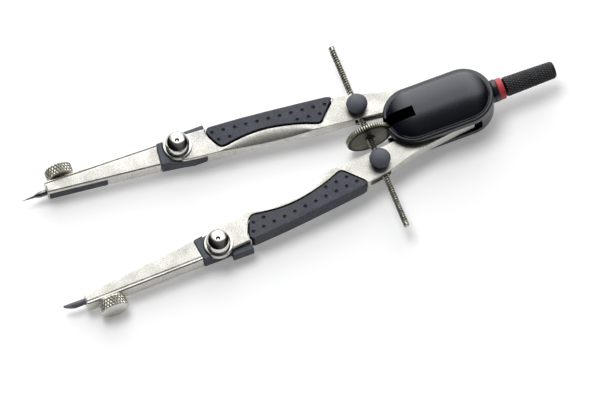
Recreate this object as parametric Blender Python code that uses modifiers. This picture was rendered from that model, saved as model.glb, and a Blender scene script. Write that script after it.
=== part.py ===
"""A master bow compass at its real size, as separate pieces that fit and move together.

The origin is the middle of the flat land on the back of the head. +X points along the
handle, +Y towards the needle leg, and +Z out of the front of the head. Heights inside the
functions are counted from the middle plane of the legs, MID_Z above the origin.
"""
import math

import bmesh
import bpy
from mathutils import Matrix, Vector

MM = 0.001

# Head: two covers with round ends, a skirt and a domed face on each
HEAD_HALF_SPAN = 8.4 * MM
HEAD_RADIUS = 9.35 * MM
HEAD_EDGE = 0.35 * MM
SKIRT_HEIGHT = 4.8 * MM
DOME_RADIUS = 8.3 * MM
LAND_RADIUS = 2.6 * MM
HEAD_HALF_HEIGHT = 7.5 * MM
LEG_ROOM = 2.4 * MM
ROOM_REAR_X = 11.2 * MM
WHEEL_SLOT_WIDTH = 3.6 * MM
WHEEL_SLOT_END_X = -7.9 * MM
DOME_STEPS = 6
HEAD_STEPS = 28
MID_Z = HEAD_HALF_HEIGHT

# Neck and handle
NECK_RADIUS = 3.6 * MM
NECK_END_X = 17.85 * MM
COLLAR_LENGTH = 1.5 * MM
RING_RADIUS = 3.45 * MM
RING_LENGTH = 1.95 * MM
HANDLE_LENGTH = 17.0 * MM
HANDLE_ROOT_RADIUS = 3.2 * MM
HANDLE_END_RADIUS = 2.8 * MM
HANDLE_CHAMFER = 0.6 * MM
KNURL_DEPTH = 0.18 * MM
KNURL_TURNS = 28
KNURL_ROWS = 26
STUD_RADIUS = 1.25 * MM
STUD_IN_HEAD = 6.0 * MM
STUD_IN_HANDLE = 12.0 * MM

# Leg pivots and the gear teeth that keep the legs symmetric
PIVOT_X = 5.9 * MM
PIVOT_OFFSET = 4.4 * MM
PIN_RADIUS = 1.5 * MM
PIN_HALF_LENGTH = 5.4 * MM
GEAR_TEETH = 12
GEAR_ADDENDUM = 0.58 * MM
GEAR_DEDENDUM = 0.8 * MM
GEAR_BACKLASH = 0.24 * MM
GEAR_ARC = math.radians(72)
PRESSURE_ANGLE = math.radians(20)

# Spindle, its wheel and the two trunnions
SPINDLE_SETBACK = 29.0 * MM
SPINDLE_RADIUS = 1.12 * MM
SPINDLE_HALF_LENGTH = 32.7 * MM
SPINDLE_CHAMFER = 0.3 * MM
WHEEL_RADIUS = 7.4 * MM
WHEEL_WIDTH = 1.9 * MM
WHEEL_CHAMFER = 0.35 * MM
WHEEL_HUB_RADIUS = 2.0 * MM
WHEEL_HUB_WIDTH = 3.0 * MM
WHEEL_NOTCHES = 48
WHEEL_NOTCH_DEPTH = 0.22 * MM
TRUNNION_INSET = 0.2 * MM
TRUNNION_RADIUS = 2.5 * MM
TRUNNION_TAP_CLEARANCE = 0.25 * MM
CAP_RADIUS = 3.35 * MM
CAP_DOME_HEIGHT = 2.1 * MM
CAP_NECK_RADIUS = 2.95 * MM
CAP_NECK_HEIGHT = 1.8 * MM
SLOT_CLEARANCE = 0.25 * MM
SLOT_REACH = 8.0 * MM
OPEN_SLOT_SWING = math.radians(36)
INNER_SLOT_SWING = math.radians(50)
CLOSE_SLOT_SWING = math.radians(12)

# Upper leg, from its pivot to its knee
KNEE_REACH = 85.5 * MM
KNEE_OFFSET = 17.85 * MM
KNEE_LAP = 0.4 * MM
KNEE_INSET = 0.45 * MM
LEG_LENGTH = KNEE_REACH + KNEE_LAP
LEG_SPREAD = KNEE_OFFSET - KNEE_INSET
LEG_HALF_THICKNESS = 2.75 * MM
LEG_THIN_HALF = 2.1 * MM
THIN_REACH = 24.8 * MM
THICK_REACH = 43.0 * MM
LEG_EDGE = 0.3 * MM
LEG_CORNER = 0.6 * MM
SCOOP_RADIUS = 41.0 * MM
SCOOP_DEPTH = 1.6 * MM
SCOOP_RUN = 3.7 * MM
SCOOP_BITE = 3.2 * MM
SCOOP_MIDDLE_SHARE = 0.676

# Rubber grip, wrapped round the outer edge of the upper leg
GRIP_PROUD = 0.25 * MM
GRIP_WALL = 1.25 * MM
GRIP_EDGE = 0.6 * MM
GRIP_CORNER = 1.6 * MM

# Knee: tongue on the upper leg, block on the lower leg, washer, screw and nut
TONGUE_RADIUS = 4.5 * MM
TONGUE_UNDERSIDE = 1.55 * MM
STEP_RADIUS = 9.8 * MM
BLOCK_CLEARANCE = 0.3 * MM
BLOCK_UNDERSIDE = 3.1 * MM
TAB_START = 3.1 * MM
TAB_LENGTH = 6.8 * MM
TAB_OUT = 4.6 * MM
TAB_WIDTH = 1.5 * MM
TAB_TOP = 0.9 * MM
WASHER_RADIUS = 4.55 * MM
WASHER_THICKNESS = 0.55 * MM
KNOB_RADIUS = 3.85 * MM
KNOB_HALF_HEIGHT = 2.6 * MM
KNOB_FOOT_RADIUS = 3.45 * MM
KNOB_FOOT_HEIGHT = 0.1 * MM
KNOB_DIMPLE_RADIUS = 0.7 * MM
KNOB_DIMPLE_DEPTH = 0.5 * MM
SCREW_RADIUS = 1.4 * MM
NUT_RADIUS = 2.4 * MM
NUT_THICKNESS = 1.1 * MM

# Lower leg, from its knee to its point
LOWER_START = 6.4 * MM
LOWER_SLANT = 0.4 * MM
LOWER_END = 43.8 * MM
NEEDLE_LEG_TRIM = 1.0 * MM
LEAD_LEG_EXTRA = 0.9 * MM
LOWER_HALF_THICKNESS = 2.8 * MM
LOWER_OUTER_AT_KNEE = 3.1 * MM
LOWER_INNER_AT_KNEE = 4.05 * MM
LOWER_OUTER_AT_TIP = 4.05 * MM
LOWER_INNER_AT_TIP = -0.35 * MM
GROOVE_INSET = 0.6 * MM
GROOVE_WIDTH = 0.6 * MM
GROOVE_DEPTH = 0.3 * MM
TENON_LENGTH = 4.0 * MM
TENON_HALF_WIDTH = 1.6 * MM
TENON_HALF_HEIGHT = 1.4 * MM

# Point clamp, its knurled screw, the needle and the lead
POINT_OFFSET = 1.6 * MM
POINT_REACH = 51.6 * MM
POINT_BORE_CLEARANCE = 0.15 * MM
POINT_END_ROOM = 2.6 * MM
NEEDLE_RADIUS = 0.95 * MM
NEEDLE_SHOULDER = 6.4 * MM
NEEDLE_NECK = 4.6 * MM
NEEDLE_NECK_RADIUS = 0.45 * MM
LEAD_RADIUS = 1.0 * MM
LEAD_BEVEL = 3.5 * MM
LEAD_FLAT = 0.3 * MM
POINT_SHANK = 26.0 * MM
JAW_START = 24.0 * MM
JAW_SETBACK = 0.6 * MM
JAW_THICKNESS = 0.9 * MM
JAW_TOP = 1.0 * MM
CLAMP_X = 37.0 * MM
CLAMP_DISC_RADIUS = 4.5 * MM
CLAMP_DISC_WIDTH = 3.5 * MM
CLAMP_DISC_CHAMFER = 0.4 * MM
CLAMP_NECK_RADIUS = 2.4 * MM
CLAMP_NECK_LENGTH = 0.2 * MM
CLAMP_SHANK_RADIUS = 1.2 * MM
CLAMP_NOTCHES = 30
CLAMP_NOTCH_DEPTH = 0.2 * MM

# Fits
FIT = 0.1 * MM
RUNNING_FIT = 0.15 * MM
OVERRUN = 1.0 * MM
WELD = 0.002 * MM
ROUND_STEPS = 24
SMALL_STEPS = 16
SMOOTH_ANGLE = math.radians(35)
SHARP_TURN = math.radians(30)
EASE_STEPS = 3
MITRE_LIMIT = 0.3
BEVEL_ANGLE = math.radians(60)
FLAT_ANGLE = math.radians(0.1)
HULL_ANGLE = math.radians(0.5)
FINE_STEPS = 2 * ROUND_STEPS
SCOOP_STEPS = 4 * ROUND_STEPS

# Upper leg edges: distance from the pivot and distance from the middle line, as shares of
# LEG_LENGTH and LEG_SPREAD, from the head to the knee
INNER_EDGE_SHARES = (
    (0.035, 0.150),
    (0.268, 0.299),
    (0.338, 0.339),
    (0.431, 0.385),
    (0.501, 0.408),
    (0.629, 0.483),
    (0.838, 0.632),
    (0.955, 0.690),
    (1.000, 0.735),
)
OUTER_EDGE_SHARES = (
    (-0.037, 0.485),
    (0.030, 0.515),
    (0.076, 0.546),
    (0.148, 0.592),
    (0.204, 0.644),
    (0.250, 0.701),
    (0.288, 0.759),
    (0.349, 0.845),
    (0.407, 0.879),
    (0.418, 0.925),
    (0.524, 0.994),
    (0.687, 1.086),
    (0.787, 1.132),
    (0.879, 1.161),
    (1.000, 1.205),
)
# Inner boundary of the grip, in the same shares, from the knee end to the head end
GRIP_EDGE_SHARES = (
    (0.888, 1.075),
    (0.859, 0.747),
    (0.841, 0.701),
    (0.780, 0.753),
    (0.710, 0.770),
    (0.652, 0.736),
    (0.594, 0.672),
    (0.536, 0.586),
    (0.495, 0.494),
    (0.478, 0.494),
    (0.407, 0.868),
)

NICKEL = (0.80, 0.78, 0.73)
CHROME = (0.78, 0.77, 0.74)
STEEL = (0.55, 0.53, 0.47)
BLACK = (0.015, 0.016, 0.020)
SLATE = (0.045, 0.049, 0.062)
RED = (0.45, 0.03, 0.04)
GRAPHITE = (0.09, 0.09, 0.11)


def clear_scene():
    for obj in list(bpy.data.objects):
        bpy.data.objects.remove(obj)


def new_collection(name):
    collection = bpy.data.collections.new(name)
    bpy.context.scene.collection.children.link(collection)
    return collection


clear_scene()
COMPASS = new_collection("drawing_compass")
CUTTERS = new_collection("cutters")
MIDDLE = (0, 0, 0)


def add_object(name, mesh, origin=MIDDLE, collection=CUTTERS):
    """An object whose mesh was drawn about the middle plane, with its origin moved to a point there."""
    mesh.transform(Matrix.Translation(-Vector(origin)))
    obj = bpy.data.objects.new(name, mesh)
    obj.location = Vector(origin) + Vector((0, 0, MID_Z))
    collection.objects.link(obj)
    if collection is CUTTERS:
        obj.hide_render = True
        obj.display_type = "WIRE"
    return obj


def mesh_from(bm, name):
    bmesh.ops.recalc_face_normals(bm, faces=bm.faces)
    mesh = bpy.data.meshes.new(name)
    bm.to_mesh(mesh)
    bm.free()
    return mesh


def prism_mesh(name, outline, low, high, upright=False):
    """A flat outline given thickness: (x, y) points along Z, or (x, z) points along Y if upright."""
    curve = bpy.data.curves.new(name, "CURVE")
    curve.dimensions = "2D"
    curve.fill_mode = "BOTH"
    curve.extrude = (high - low) / 2
    spline = curve.splines.new("POLY")
    spline.points.add(len(outline) - 1)
    for point, (x, y) in zip(spline.points, outline):
        point.co = (x, y, 0, 1)
    spline.use_cyclic_u = True
    guide = bpy.data.objects.new(name, curve)
    CUTTERS.objects.link(guide)
    depsgraph = bpy.context.evaluated_depsgraph_get()
    drawn = bpy.data.meshes.new_from_object(guide.evaluated_get(depsgraph))
    bpy.data.objects.remove(guide)
    drawn.transform(Matrix.Translation((0, 0, (low + high) / 2)))
    if upright:
        drawn.transform(Matrix.Rotation(math.radians(90), 4, "X"))
    bm = bmesh.new()
    bm.from_mesh(drawn)
    bpy.data.meshes.remove(drawn)
    bmesh.ops.remove_doubles(bm, verts=bm.verts, dist=WELD)
    bmesh.ops.dissolve_limit(bm, angle_limit=FLAT_ANGLE, verts=bm.verts, edges=bm.edges)
    return mesh_from(bm, name)


def box_mesh(name, low, high):
    low, high = Vector(low), Vector(high)
    bm = bmesh.new()
    place = Matrix.Translation((low + high) / 2) @ Matrix.Diagonal((high - low).to_4d())
    bmesh.ops.create_cube(bm, size=1, matrix=place)
    return mesh_from(bm, name)


def rod_mesh(name, start, end, radius, end_radius=None, steps=ROUND_STEPS):
    """A cylinder or cone between two points."""
    start, end = Vector(start), Vector(end)
    bm = bmesh.new()
    turn = Vector((0, 0, 1)).rotation_difference(end - start).to_matrix().to_4x4()
    bmesh.ops.create_cone(
        bm,
        cap_ends=True,
        segments=steps,
        radius1=radius,
        radius2=radius if end_radius is None else end_radius,
        depth=(end - start).length,
        matrix=Matrix.Translation((start + end) / 2) @ turn,
    )
    return mesh_from(bm, name)


def turned(name, profile, place, steps=ROUND_STEPS, turn=None):
    """A profile of (radius, height) points, listed from its top down, turned about its axis."""
    mesh = bpy.data.meshes.new(name)
    verts = [(radius, 0, height) for radius, height in profile]
    edges = [(i, i + 1) for i in range(len(profile) - 1)]
    mesh.from_pydata(verts, edges, [])
    obj = bpy.data.objects.new(name, mesh)
    obj.location = Vector(place) + Vector((0, 0, MID_Z))
    if turn:
        obj.rotation_euler = turn
    COMPASS.objects.link(obj)
    screw = obj.modifiers.new("turned", "SCREW")
    screw.steps = steps
    screw.render_steps = steps
    screw.use_merge_vertices = True
    screw.merge_threshold = WELD
    screw.use_smooth_shade = True
    return obj


def boolean(obj, tool, operation):
    modifier = obj.modifiers.new(tool.name, "BOOLEAN")
    modifier.operation = operation
    modifier.object = tool
    modifier.solver = "EXACT"
    return obj


def cut(obj, tool):
    return boolean(obj, tool, "DIFFERENCE")


def join(obj, tool):
    return boolean(obj, tool, "UNION")


def soften(obj, width, segments=1):
    """Bevelled edges, where faces meet at more than BEVEL_ANGLE."""
    bevel = obj.modifiers.new("edges", "BEVEL")
    bevel.width = width
    bevel.segments = segments
    bevel.limit_method = "ANGLE"
    bevel.angle_limit = BEVEL_ANGLE
    return obj


def dress(obj, colour, roughness, metallic):
    """The object's own material, and smooth shading up to its edges."""
    material = bpy.data.materials.new(obj.name + "_finish")
    material.use_nodes = True
    shader = material.node_tree.nodes["Principled BSDF"]
    shader.inputs["Base Color"].default_value = (*colour, 1)
    shader.inputs["Roughness"].default_value = roughness
    shader.inputs["Metallic"].default_value = metallic
    obj.data.materials.append(material)
    obj.data.shade_smooth()
    obj.data.set_sharp_from_angle(angle=SMOOTH_ANGLE)
    return obj


def carry(parent, *children):
    """Hang pieces on an empty that stands on their joint's axis, without moving them."""
    for child in children:
        child.parent = parent
        child.matrix_parent_inverse = Matrix.Translation(-parent.location)


def axis_empty(name, point):
    empty = bpy.data.objects.new(name, None)
    empty.location = Vector(point) + Vector((0, 0, MID_Z))
    empty.empty_display_size = PIVOT_OFFSET
    COMPASS.objects.link(empty)
    return empty


def eased(points, corner):
    """A closed outline with its corners rounded, over a set reach at sharp ones."""
    rounded = []
    for i, point in enumerate(points):
        here = Vector(point)
        before = Vector(points[i - 1]) - here
        after = Vector(points[(i + 1) % len(points)]) - here
        sharp = before.angle(after) < math.pi - SHARP_TURN
        limit = corner if sharp else LEG_LENGTH
        near = here + before.normalized() * min(limit, before.length / 2)
        far = here + after.normalized() * min(limit, after.length / 2)
        for step in range(EASE_STEPS + 1):
            share = step / EASE_STEPS
            rounded.append(tuple(near.lerp(here, share).lerp(here.lerp(far, share), share)))
    pairs = zip(rounded, rounded[1:] + rounded[:1])
    return [p for p, q in pairs if (Vector(p) - Vector(q)).length > WELD]


def offset_outline(points, distance):
    """A closed outline grown outwards by a distance, corner by corner."""
    area = sum(p[0] * q[1] - q[0] * p[1] for p, q in zip(points, points[1:] + points[:1]))
    turn = 1 if area > 0 else -1
    grown = []
    for i, point in enumerate(points):
        before = Vector(points[i - 1])
        here = Vector(point)
        after = Vector(points[(i + 1) % len(points)])
        first = (here - before).normalized()
        second = (after - here).normalized()
        normal_1 = Vector((first.y, -first.x)) * turn
        normal_2 = Vector((second.y, -second.x)) * turn
        mitre = (normal_1 + normal_2).normalized()
        grown.append(tuple(here + mitre * distance / max(mitre.dot(normal_1), MITRE_LIMIT)))
    return grown


# Head

def stadium_mesh(name, rings):
    """The convex solid round discs of given (radius, height) at both end centres of the head."""
    bm = bmesh.new()
    for radius, height in rings:
        for x in (-HEAD_HALF_SPAN, HEAD_HALF_SPAN):
            place = Matrix.Translation((x, 0, height))
            bmesh.ops.create_circle(bm, segments=HEAD_STEPS, radius=radius, matrix=place)
    hull = bmesh.ops.convex_hull(bm, input=bm.verts)
    inside = [v for v in hull["geom_interior"] + hull["geom_unused"] if isinstance(v, bmesh.types.BMVert)]
    bmesh.ops.delete(bm, geom=list(set(inside)), context="VERTS")
    loose = [v for v in bm.verts if not v.link_faces]
    bmesh.ops.delete(bm, geom=loose, context="VERTS")
    bmesh.ops.dissolve_limit(bm, angle_limit=HULL_ANGLE, verts=bm.verts, edges=bm.edges)
    return mesh_from(bm, name)


def dome_rings(up):
    """The domed face, from the top of the skirt to the flat land."""
    rings = [(DOME_RADIUS, up * (SKIRT_HEIGHT - OVERRUN))]
    for i in range(DOME_STEPS + 1):
        swing = math.radians(90) * i / DOME_STEPS
        radius = LAND_RADIUS + (DOME_RADIUS - LAND_RADIUS) * math.cos(swing)
        height = SKIRT_HEIGHT + (HEAD_HALF_HEIGHT - SKIRT_HEIGHT) * math.sin(swing)
        rings.append((radius, up * height))
    return rings


def head_cover(name, up):
    """One cover: skirt, dome and half the neck, cut out for the legs, the wheel and the pins."""
    skirt_rings = (
        (HEAD_RADIUS, -up * OVERRUN),
        (HEAD_RADIUS, up * (SKIRT_HEIGHT - HEAD_EDGE)),
        (HEAD_RADIUS - HEAD_EDGE, up * SKIRT_HEIGHT),
    )
    cover = add_object(name, stadium_mesh(name, skirt_rings), collection=COMPASS)
    dome = add_object(name + "_dome", stadium_mesh(name + "_dome", dome_rings(up)))
    front = HEAD_HALF_SPAN + HEAD_RADIUS + OVERRUN
    neck_start = (HEAD_HALF_SPAN, 0, 0)
    neck = add_object(name + "_neck", rod_mesh(name, neck_start, (NECK_END_X, 0, 0), NECK_RADIUS))
    half = add_object(name + "_half", box_mesh(
        name, (-front, -front, up * FIT / 2), (front, front, -up * front)))
    room = add_object(name + "_leg_room", box_mesh(
        name, (-front, -front, -up * OVERRUN), (ROOM_REAR_X, front, up * LEG_ROOM)))
    slot_half = WHEEL_SLOT_WIDTH / 2
    slot = add_object(name + "_wheel_slot", box_mesh(
        name, (-front, -slot_half, 0), (WHEEL_SLOT_END_X, slot_half, up * front)))
    stud = add_object(name + "_stud_hole", rod_mesh(
        name,
        (NECK_END_X - STUD_IN_HEAD - FIT, 0, 0),
        (NECK_END_X + OVERRUN, 0, 0),
        STUD_RADIUS + FIT,
        steps=SMALL_STEPS,
    ))
    for tool in (dome, neck):
        join(cover, tool)
    for tool in (half, room, slot, stud):
        cut(cover, tool)
    for side in (1, -1):
        hole = add_object(f"{name}_pin_hole_{side}", rod_mesh(
            name,
            (PIVOT_X, side * PIVOT_OFFSET, 0),
            (PIVOT_X, side * PIVOT_OFFSET, up * (PIN_HALF_LENGTH + FIT)),
            PIN_RADIUS + FIT,
            steps=SMALL_STEPS,
        ))
        cut(cover, hole)
    return dress(cover, BLACK, 0.32, 0.0)


def pivot_pin(name, side):
    y = side * PIVOT_OFFSET
    mesh = rod_mesh(
        name, (PIVOT_X, y, -PIN_HALF_LENGTH), (PIVOT_X, y, PIN_HALF_LENGTH), PIN_RADIUS, steps=SMALL_STEPS
    )
    return dress(add_object(name, mesh, (PIVOT_X, y, 0), COMPASS), STEEL, 0.3, 1.0)


# Neck and handle

ALONG_X = (0, math.radians(90), 0)


def neck_ring(name, start, length, radius, colour):
    """A ring on the stud, with its edges eased."""
    ease = RUNNING_FIT
    bore = STUD_RADIUS + FIT
    profile = (
        (bore, length),
        (radius - ease, length),
        (radius, length - ease),
        (radius, ease),
        (radius - ease, 0),
        (bore, 0),
        (bore, length),
    )
    return dress(turned(name, profile, (start, 0, 0), turn=ALONG_X), colour, 0.35, 0.0)


def knurled_handle(start):
    """The grip rod: a tapered rod with diamonds, raised at every other point of a fine net."""
    bm = bmesh.new()
    rings = []
    for row in range(KNURL_ROWS + 1):
        share = row / KNURL_ROWS
        x = share * HANDLE_LENGTH
        base = HANDLE_ROOT_RADIUS + (HANDLE_END_RADIUS - HANDLE_ROOT_RADIUS) * share
        end = row in (0, KNURL_ROWS)
        ring = []
        for step in range(KNURL_TURNS):
            raised = 0 if end else KNURL_DEPTH * ((row + step) % 2)
            radius = base - KNURL_DEPTH + raised - (HANDLE_CHAMFER if end else 0)
            swing = math.tau * step / KNURL_TURNS
            ring.append(bm.verts.new((x, radius * math.cos(swing), radius * math.sin(swing))))
        rings.append(ring)
    for row in range(KNURL_ROWS):
        for step in range(KNURL_TURNS):
            after = (step + 1) % KNURL_TURNS
            near, far = rings[row], rings[row + 1]
            if (row + step) % 2:
                bm.faces.new((near[step], near[after], far[after]))
                bm.faces.new((near[step], far[after], far[step]))
            else:
                bm.faces.new((near[step], near[after], far[step]))
                bm.faces.new((near[after], far[after], far[step]))
    bm.faces.new(rings[0])
    bm.faces.new(rings[-1])
    bmesh.ops.translate(bm, verts=bm.verts, vec=(start, 0, 0))
    handle = add_object("handle", mesh_from(bm, "handle"), collection=COMPASS)
    bore = add_object("handle_bore", rod_mesh(
        "handle_bore",
        (start - OVERRUN, 0, 0),
        (start + STUD_IN_HANDLE + FIT, 0, 0),
        STUD_RADIUS + FIT,
        steps=SMALL_STEPS,
    ))
    return dress(cut(handle, bore), GRAPHITE, 0.4, 0.0)


def build_handle():
    collar_x = NECK_END_X + FIT
    ring_x = collar_x + COLLAR_LENGTH + FIT
    handle_x = ring_x + RING_LENGTH + FIT
    neck_ring("neck_collar", collar_x, COLLAR_LENGTH, NECK_RADIUS, BLACK)
    neck_ring("colour_ring", ring_x, RING_LENGTH, RING_RADIUS, RED)
    knurled_handle(handle_x)
    stud = rod_mesh(
        "handle_stud",
        (NECK_END_X - STUD_IN_HEAD, 0, 0),
        (handle_x + STUD_IN_HANDLE, 0, 0),
        STUD_RADIUS,
        steps=SMALL_STEPS,
    )
    dress(add_object("handle_stud", stud, collection=COMPASS), STEEL, 0.3, 1.0)


# Spindle and wheel

def edge_out(shares, along):
    """How far an edge of the leg lies from the middle line, at a distance along it from the pivot."""
    share = along / LEG_LENGTH
    for (near, near_out), (far, far_out) in zip(shares, shares[1:]):
        if near <= share <= far:
            return LEG_SPREAD * (near_out + (far_out - near_out) * (share - near) / (far - near))
    return LEG_SPREAD * shares[-1][1]


SPINDLE_X = PIVOT_X - SPINDLE_SETBACK
SPINDLE_EDGES = [edge_out(edge, SPINDLE_SETBACK) for edge in (INNER_EDGE_SHARES, OUTER_EDGE_SHARES)]
TRUNNION_OFFSET = sum(SPINDLE_EDGES) / len(SPINDLE_EDGES) - TRUNNION_INSET
ALONG_Y = (math.radians(-90), 0, 0)


def notched_disc_mesh(name, radius, width, chamfer, notches, depth):
    """A disc along Z with chamfered rims and a notched edge."""
    half = width / 2
    bm = bmesh.new()
    levels = (
        (radius - chamfer, half),
        (radius, half - chamfer),
        (radius, chamfer - half),
        (radius - chamfer, -half),
    )
    rings = []
    for level_radius, height in levels:
        ring = []
        for step in range(2 * notches):
            swing = math.tau * step / (2 * notches)
            at_rim = level_radius == radius
            reach = level_radius - (depth if at_rim and step % 2 else 0)
            ring.append(bm.verts.new((reach * math.cos(swing), reach * math.sin(swing), height)))
        rings.append(ring)
    for upper, lower in zip(rings, rings[1:]):
        for step in range(2 * notches):
            after = (step + 1) % (2 * notches)
            bm.faces.new((upper[step], lower[step], lower[after], upper[after]))
    bm.faces.new(rings[0])
    bm.faces.new(rings[-1])
    return mesh_from(bm, name)


def build_spindle():
    end = SPINDLE_HALF_LENGTH
    profile = (
        (0, end),
        (SPINDLE_RADIUS - SPINDLE_CHAMFER, end),
        (SPINDLE_RADIUS, end - SPINDLE_CHAMFER),
        (SPINDLE_RADIUS, SPINDLE_CHAMFER - end),
        (SPINDLE_RADIUS - SPINDLE_CHAMFER, -end),
        (0, -end),
    )
    spindle = turned("threaded_spindle", profile, (SPINDLE_X, 0, 0), SMALL_STEPS, ALONG_Y)
    dress(spindle, STEEL, 0.35, 1.0)
    disc = notched_disc_mesh(
        "adjusting_wheel", WHEEL_RADIUS, WHEEL_WIDTH, WHEEL_CHAMFER, WHEEL_NOTCHES, WHEEL_NOTCH_DEPTH
    )
    disc.transform(Matrix.Rotation(math.radians(90), 4, "X"))
    disc.transform(Matrix.Translation((SPINDLE_X, 0, 0)))
    wheel = add_object("adjusting_wheel", disc, (SPINDLE_X, 0, 0), COMPASS)
    hub_end = WHEEL_HUB_WIDTH / 2
    hub = add_object("wheel_hub", rod_mesh(
        "wheel_hub", (SPINDLE_X, -hub_end, 0), (SPINDLE_X, hub_end, 0), WHEEL_HUB_RADIUS, steps=SMALL_STEPS))
    bore = add_object("wheel_bore", rod_mesh(
        "wheel_bore",
        (SPINDLE_X, -WHEEL_HUB_WIDTH, 0),
        (SPINDLE_X, WHEEL_HUB_WIDTH, 0),
        SPINDLE_RADIUS + FIT,
        steps=SMALL_STEPS,
    ))
    dress(cut(join(wheel, hub), bore), STEEL, 0.35, 1.0)


def trunnion(name, side):
    """The cross-drilled nut that swivels in the leg, with a domed cap on its front and back."""
    y = side * TRUNNION_OFFSET
    seat = leg_half_at(SPINDLE_SETBACK) + FIT
    centre = (SPINDLE_X, y, 0)
    nut = add_object(f"trunnion_nut_{name}", rod_mesh(
        name, (SPINDLE_X, y, -seat), (SPINDLE_X, y, seat), TRUNNION_RADIUS), centre, COMPASS)
    tap = add_object(f"trunnion_tap_{name}", rod_mesh(
        name,
        (SPINDLE_X, y - CAP_RADIUS, 0),
        (SPINDLE_X, y + CAP_RADIUS, 0),
        SPINDLE_RADIUS + TRUNNION_TAP_CLEARANCE,
        steps=SMALL_STEPS,
    ))
    dress(cut(nut, tap), STEEL, 0.35, 1.0)
    pieces = [nut]
    for label, up in (("front", 1), ("back", -1)):
        profile = [(0, CAP_NECK_HEIGHT + CAP_DOME_HEIGHT)]
        for i in range(1, DOME_STEPS + 1):
            swing = math.radians(90) * (1 - i / DOME_STEPS)
            height = CAP_NECK_HEIGHT + CAP_DOME_HEIGHT * math.sin(swing)
            profile.append((CAP_RADIUS * math.cos(swing), height))
        profile += [(CAP_NECK_RADIUS, CAP_NECK_HEIGHT - FIT), (CAP_NECK_RADIUS, 0), (0, 0)]
        turn = (0, 0, 0) if up > 0 else (math.radians(180), 0, 0)
        place = (SPINDLE_X, y, up * (seat + FIT))
        cap = turned(f"trunnion_cap_{label}_{name}", profile, place, turn=turn)
        pieces.append(dress(cap, SLATE, 0.5, 0.0))
    return pieces


# Upper leg

def leg_point(along, out, side):
    """A point on the leg's plan: distance from the pivot towards the knee, and from the middle line."""
    return (PIVOT_X - along, side * out)


def edge_points(shares, side, shift=0):
    return [leg_point(a * LEG_LENGTH, b * LEG_SPREAD + shift, side) for a, b in shares]


def leg_half_at(along):
    """Half the leg's thickness: thin inside the head, thicker from the trunnion to the knee."""
    share = (along - THIN_REACH) / (THICK_REACH - THIN_REACH)
    share = min(max(share, 0), 1)
    return LEG_THIN_HALF + (LEG_HALF_THICKNESS - LEG_THIN_HALF) * share


def gear_eye_outline(side, phase):
    """The eye round the pivot: plain at the back, involute teeth where it faces the other leg."""
    pitch_radius = PIVOT_OFFSET
    base_radius = pitch_radius * math.cos(PRESSURE_ANGLE)
    tip_radius = pitch_radius + GEAR_ADDENDUM
    root_radius = pitch_radius - GEAR_DEDENDUM
    pitch = math.tau / GEAR_TEETH
    half_tooth = (pitch * pitch_radius / 2 - GEAR_BACKLASH) / 2 / pitch_radius

    def involute(angle):
        return math.tan(angle) - angle

    def half_width(radius):
        lean = involute(math.acos(min(base_radius / max(radius, base_radius), 1)))
        return half_tooth + involute(PRESSURE_ANGLE) - lean

    flank = (root_radius, base_radius, pitch_radius, (pitch_radius + tip_radius) / 2, tip_radius)
    toothed = []
    first = math.ceil((-GEAR_ARC - phase) / pitch)
    last = math.floor((GEAR_ARC - phase) / pitch)
    for tooth in range(first, last + 1):
        centre = tooth * pitch + phase
        toothed += [(centre - half_width(r), r) for r in flank]
        toothed += [(centre + half_width(r), r) for r in reversed(flank)]
    back = math.radians(360) - 2 * GEAR_ARC - pitch
    plain = [GEAR_ARC + pitch / 2 + back * i / ROUND_STEPS for i in range(ROUND_STEPS + 1)]
    polar = toothed + [(angle, pitch_radius - FIT) for angle in plain]
    facing = math.radians(-90)
    centre_x, centre_y = leg_point(0, PIVOT_OFFSET, 1)
    return [
        (centre_x + r * math.cos(facing + a), side * (centre_y + r * math.sin(facing + a)))
        for a, r in polar
    ]


def side_profile_outline():
    """The leg seen from its edge: thin in the head, tapering up to full thickness."""
    stops = (-HEAD_RADIUS, THIN_REACH, THICK_REACH, LEG_LENGTH + STEP_RADIUS)
    upper = [(PIVOT_X - along, leg_half_at(along)) for along in stops]
    return upper + [(x, -z) for x, z in reversed(upper)]


def grip_outline(side):
    inner = edge_points(GRIP_EDGE_SHARES, side)
    low, high = GRIP_EDGE_SHARES[-1][0], GRIP_EDGE_SHARES[0][0]
    outer = [s for s in OUTER_EDGE_SHARES if low < s[0] < high]
    return eased(inner + edge_points(outer, side, GRIP_PROUD), GRIP_CORNER)


def core_outline(side):
    """The web of the leg that the grip is wrapped round, open past the grip's inner boundary."""
    low, high = GRIP_EDGE_SHARES[-1][0], GRIP_EDGE_SHARES[0][0]
    margin = TAB_LENGTH / LEG_LENGTH
    outer = [s for s in OUTER_EDGE_SHARES if low < s[0] < high]
    outer = [(low - margin, outer[0][1])] + outer + [(high + margin, outer[-1][1])]
    inner = [(high + margin, 0), (low - margin, 0)]
    return edge_points(outer, side, -GRIP_WALL) + edge_points(inner, side)


def grip_room(name, side):
    """What is taken out of the leg for the grip: its outline a little grown, less the web inside it."""
    outline = offset_outline(grip_outline(side), FIT)
    room = add_object(f"grip_room_{name}", prism_mesh(
        name, outline, -LEG_HALF_THICKNESS - OVERRUN, LEG_HALF_THICKNESS + OVERRUN))
    web_half = LEG_HALF_THICKNESS + GRIP_PROUD - GRIP_WALL - FIT
    web = add_object(f"grip_web_{name}", prism_mesh(name, core_outline(side), -web_half, web_half))
    return cut(room, web)


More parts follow.
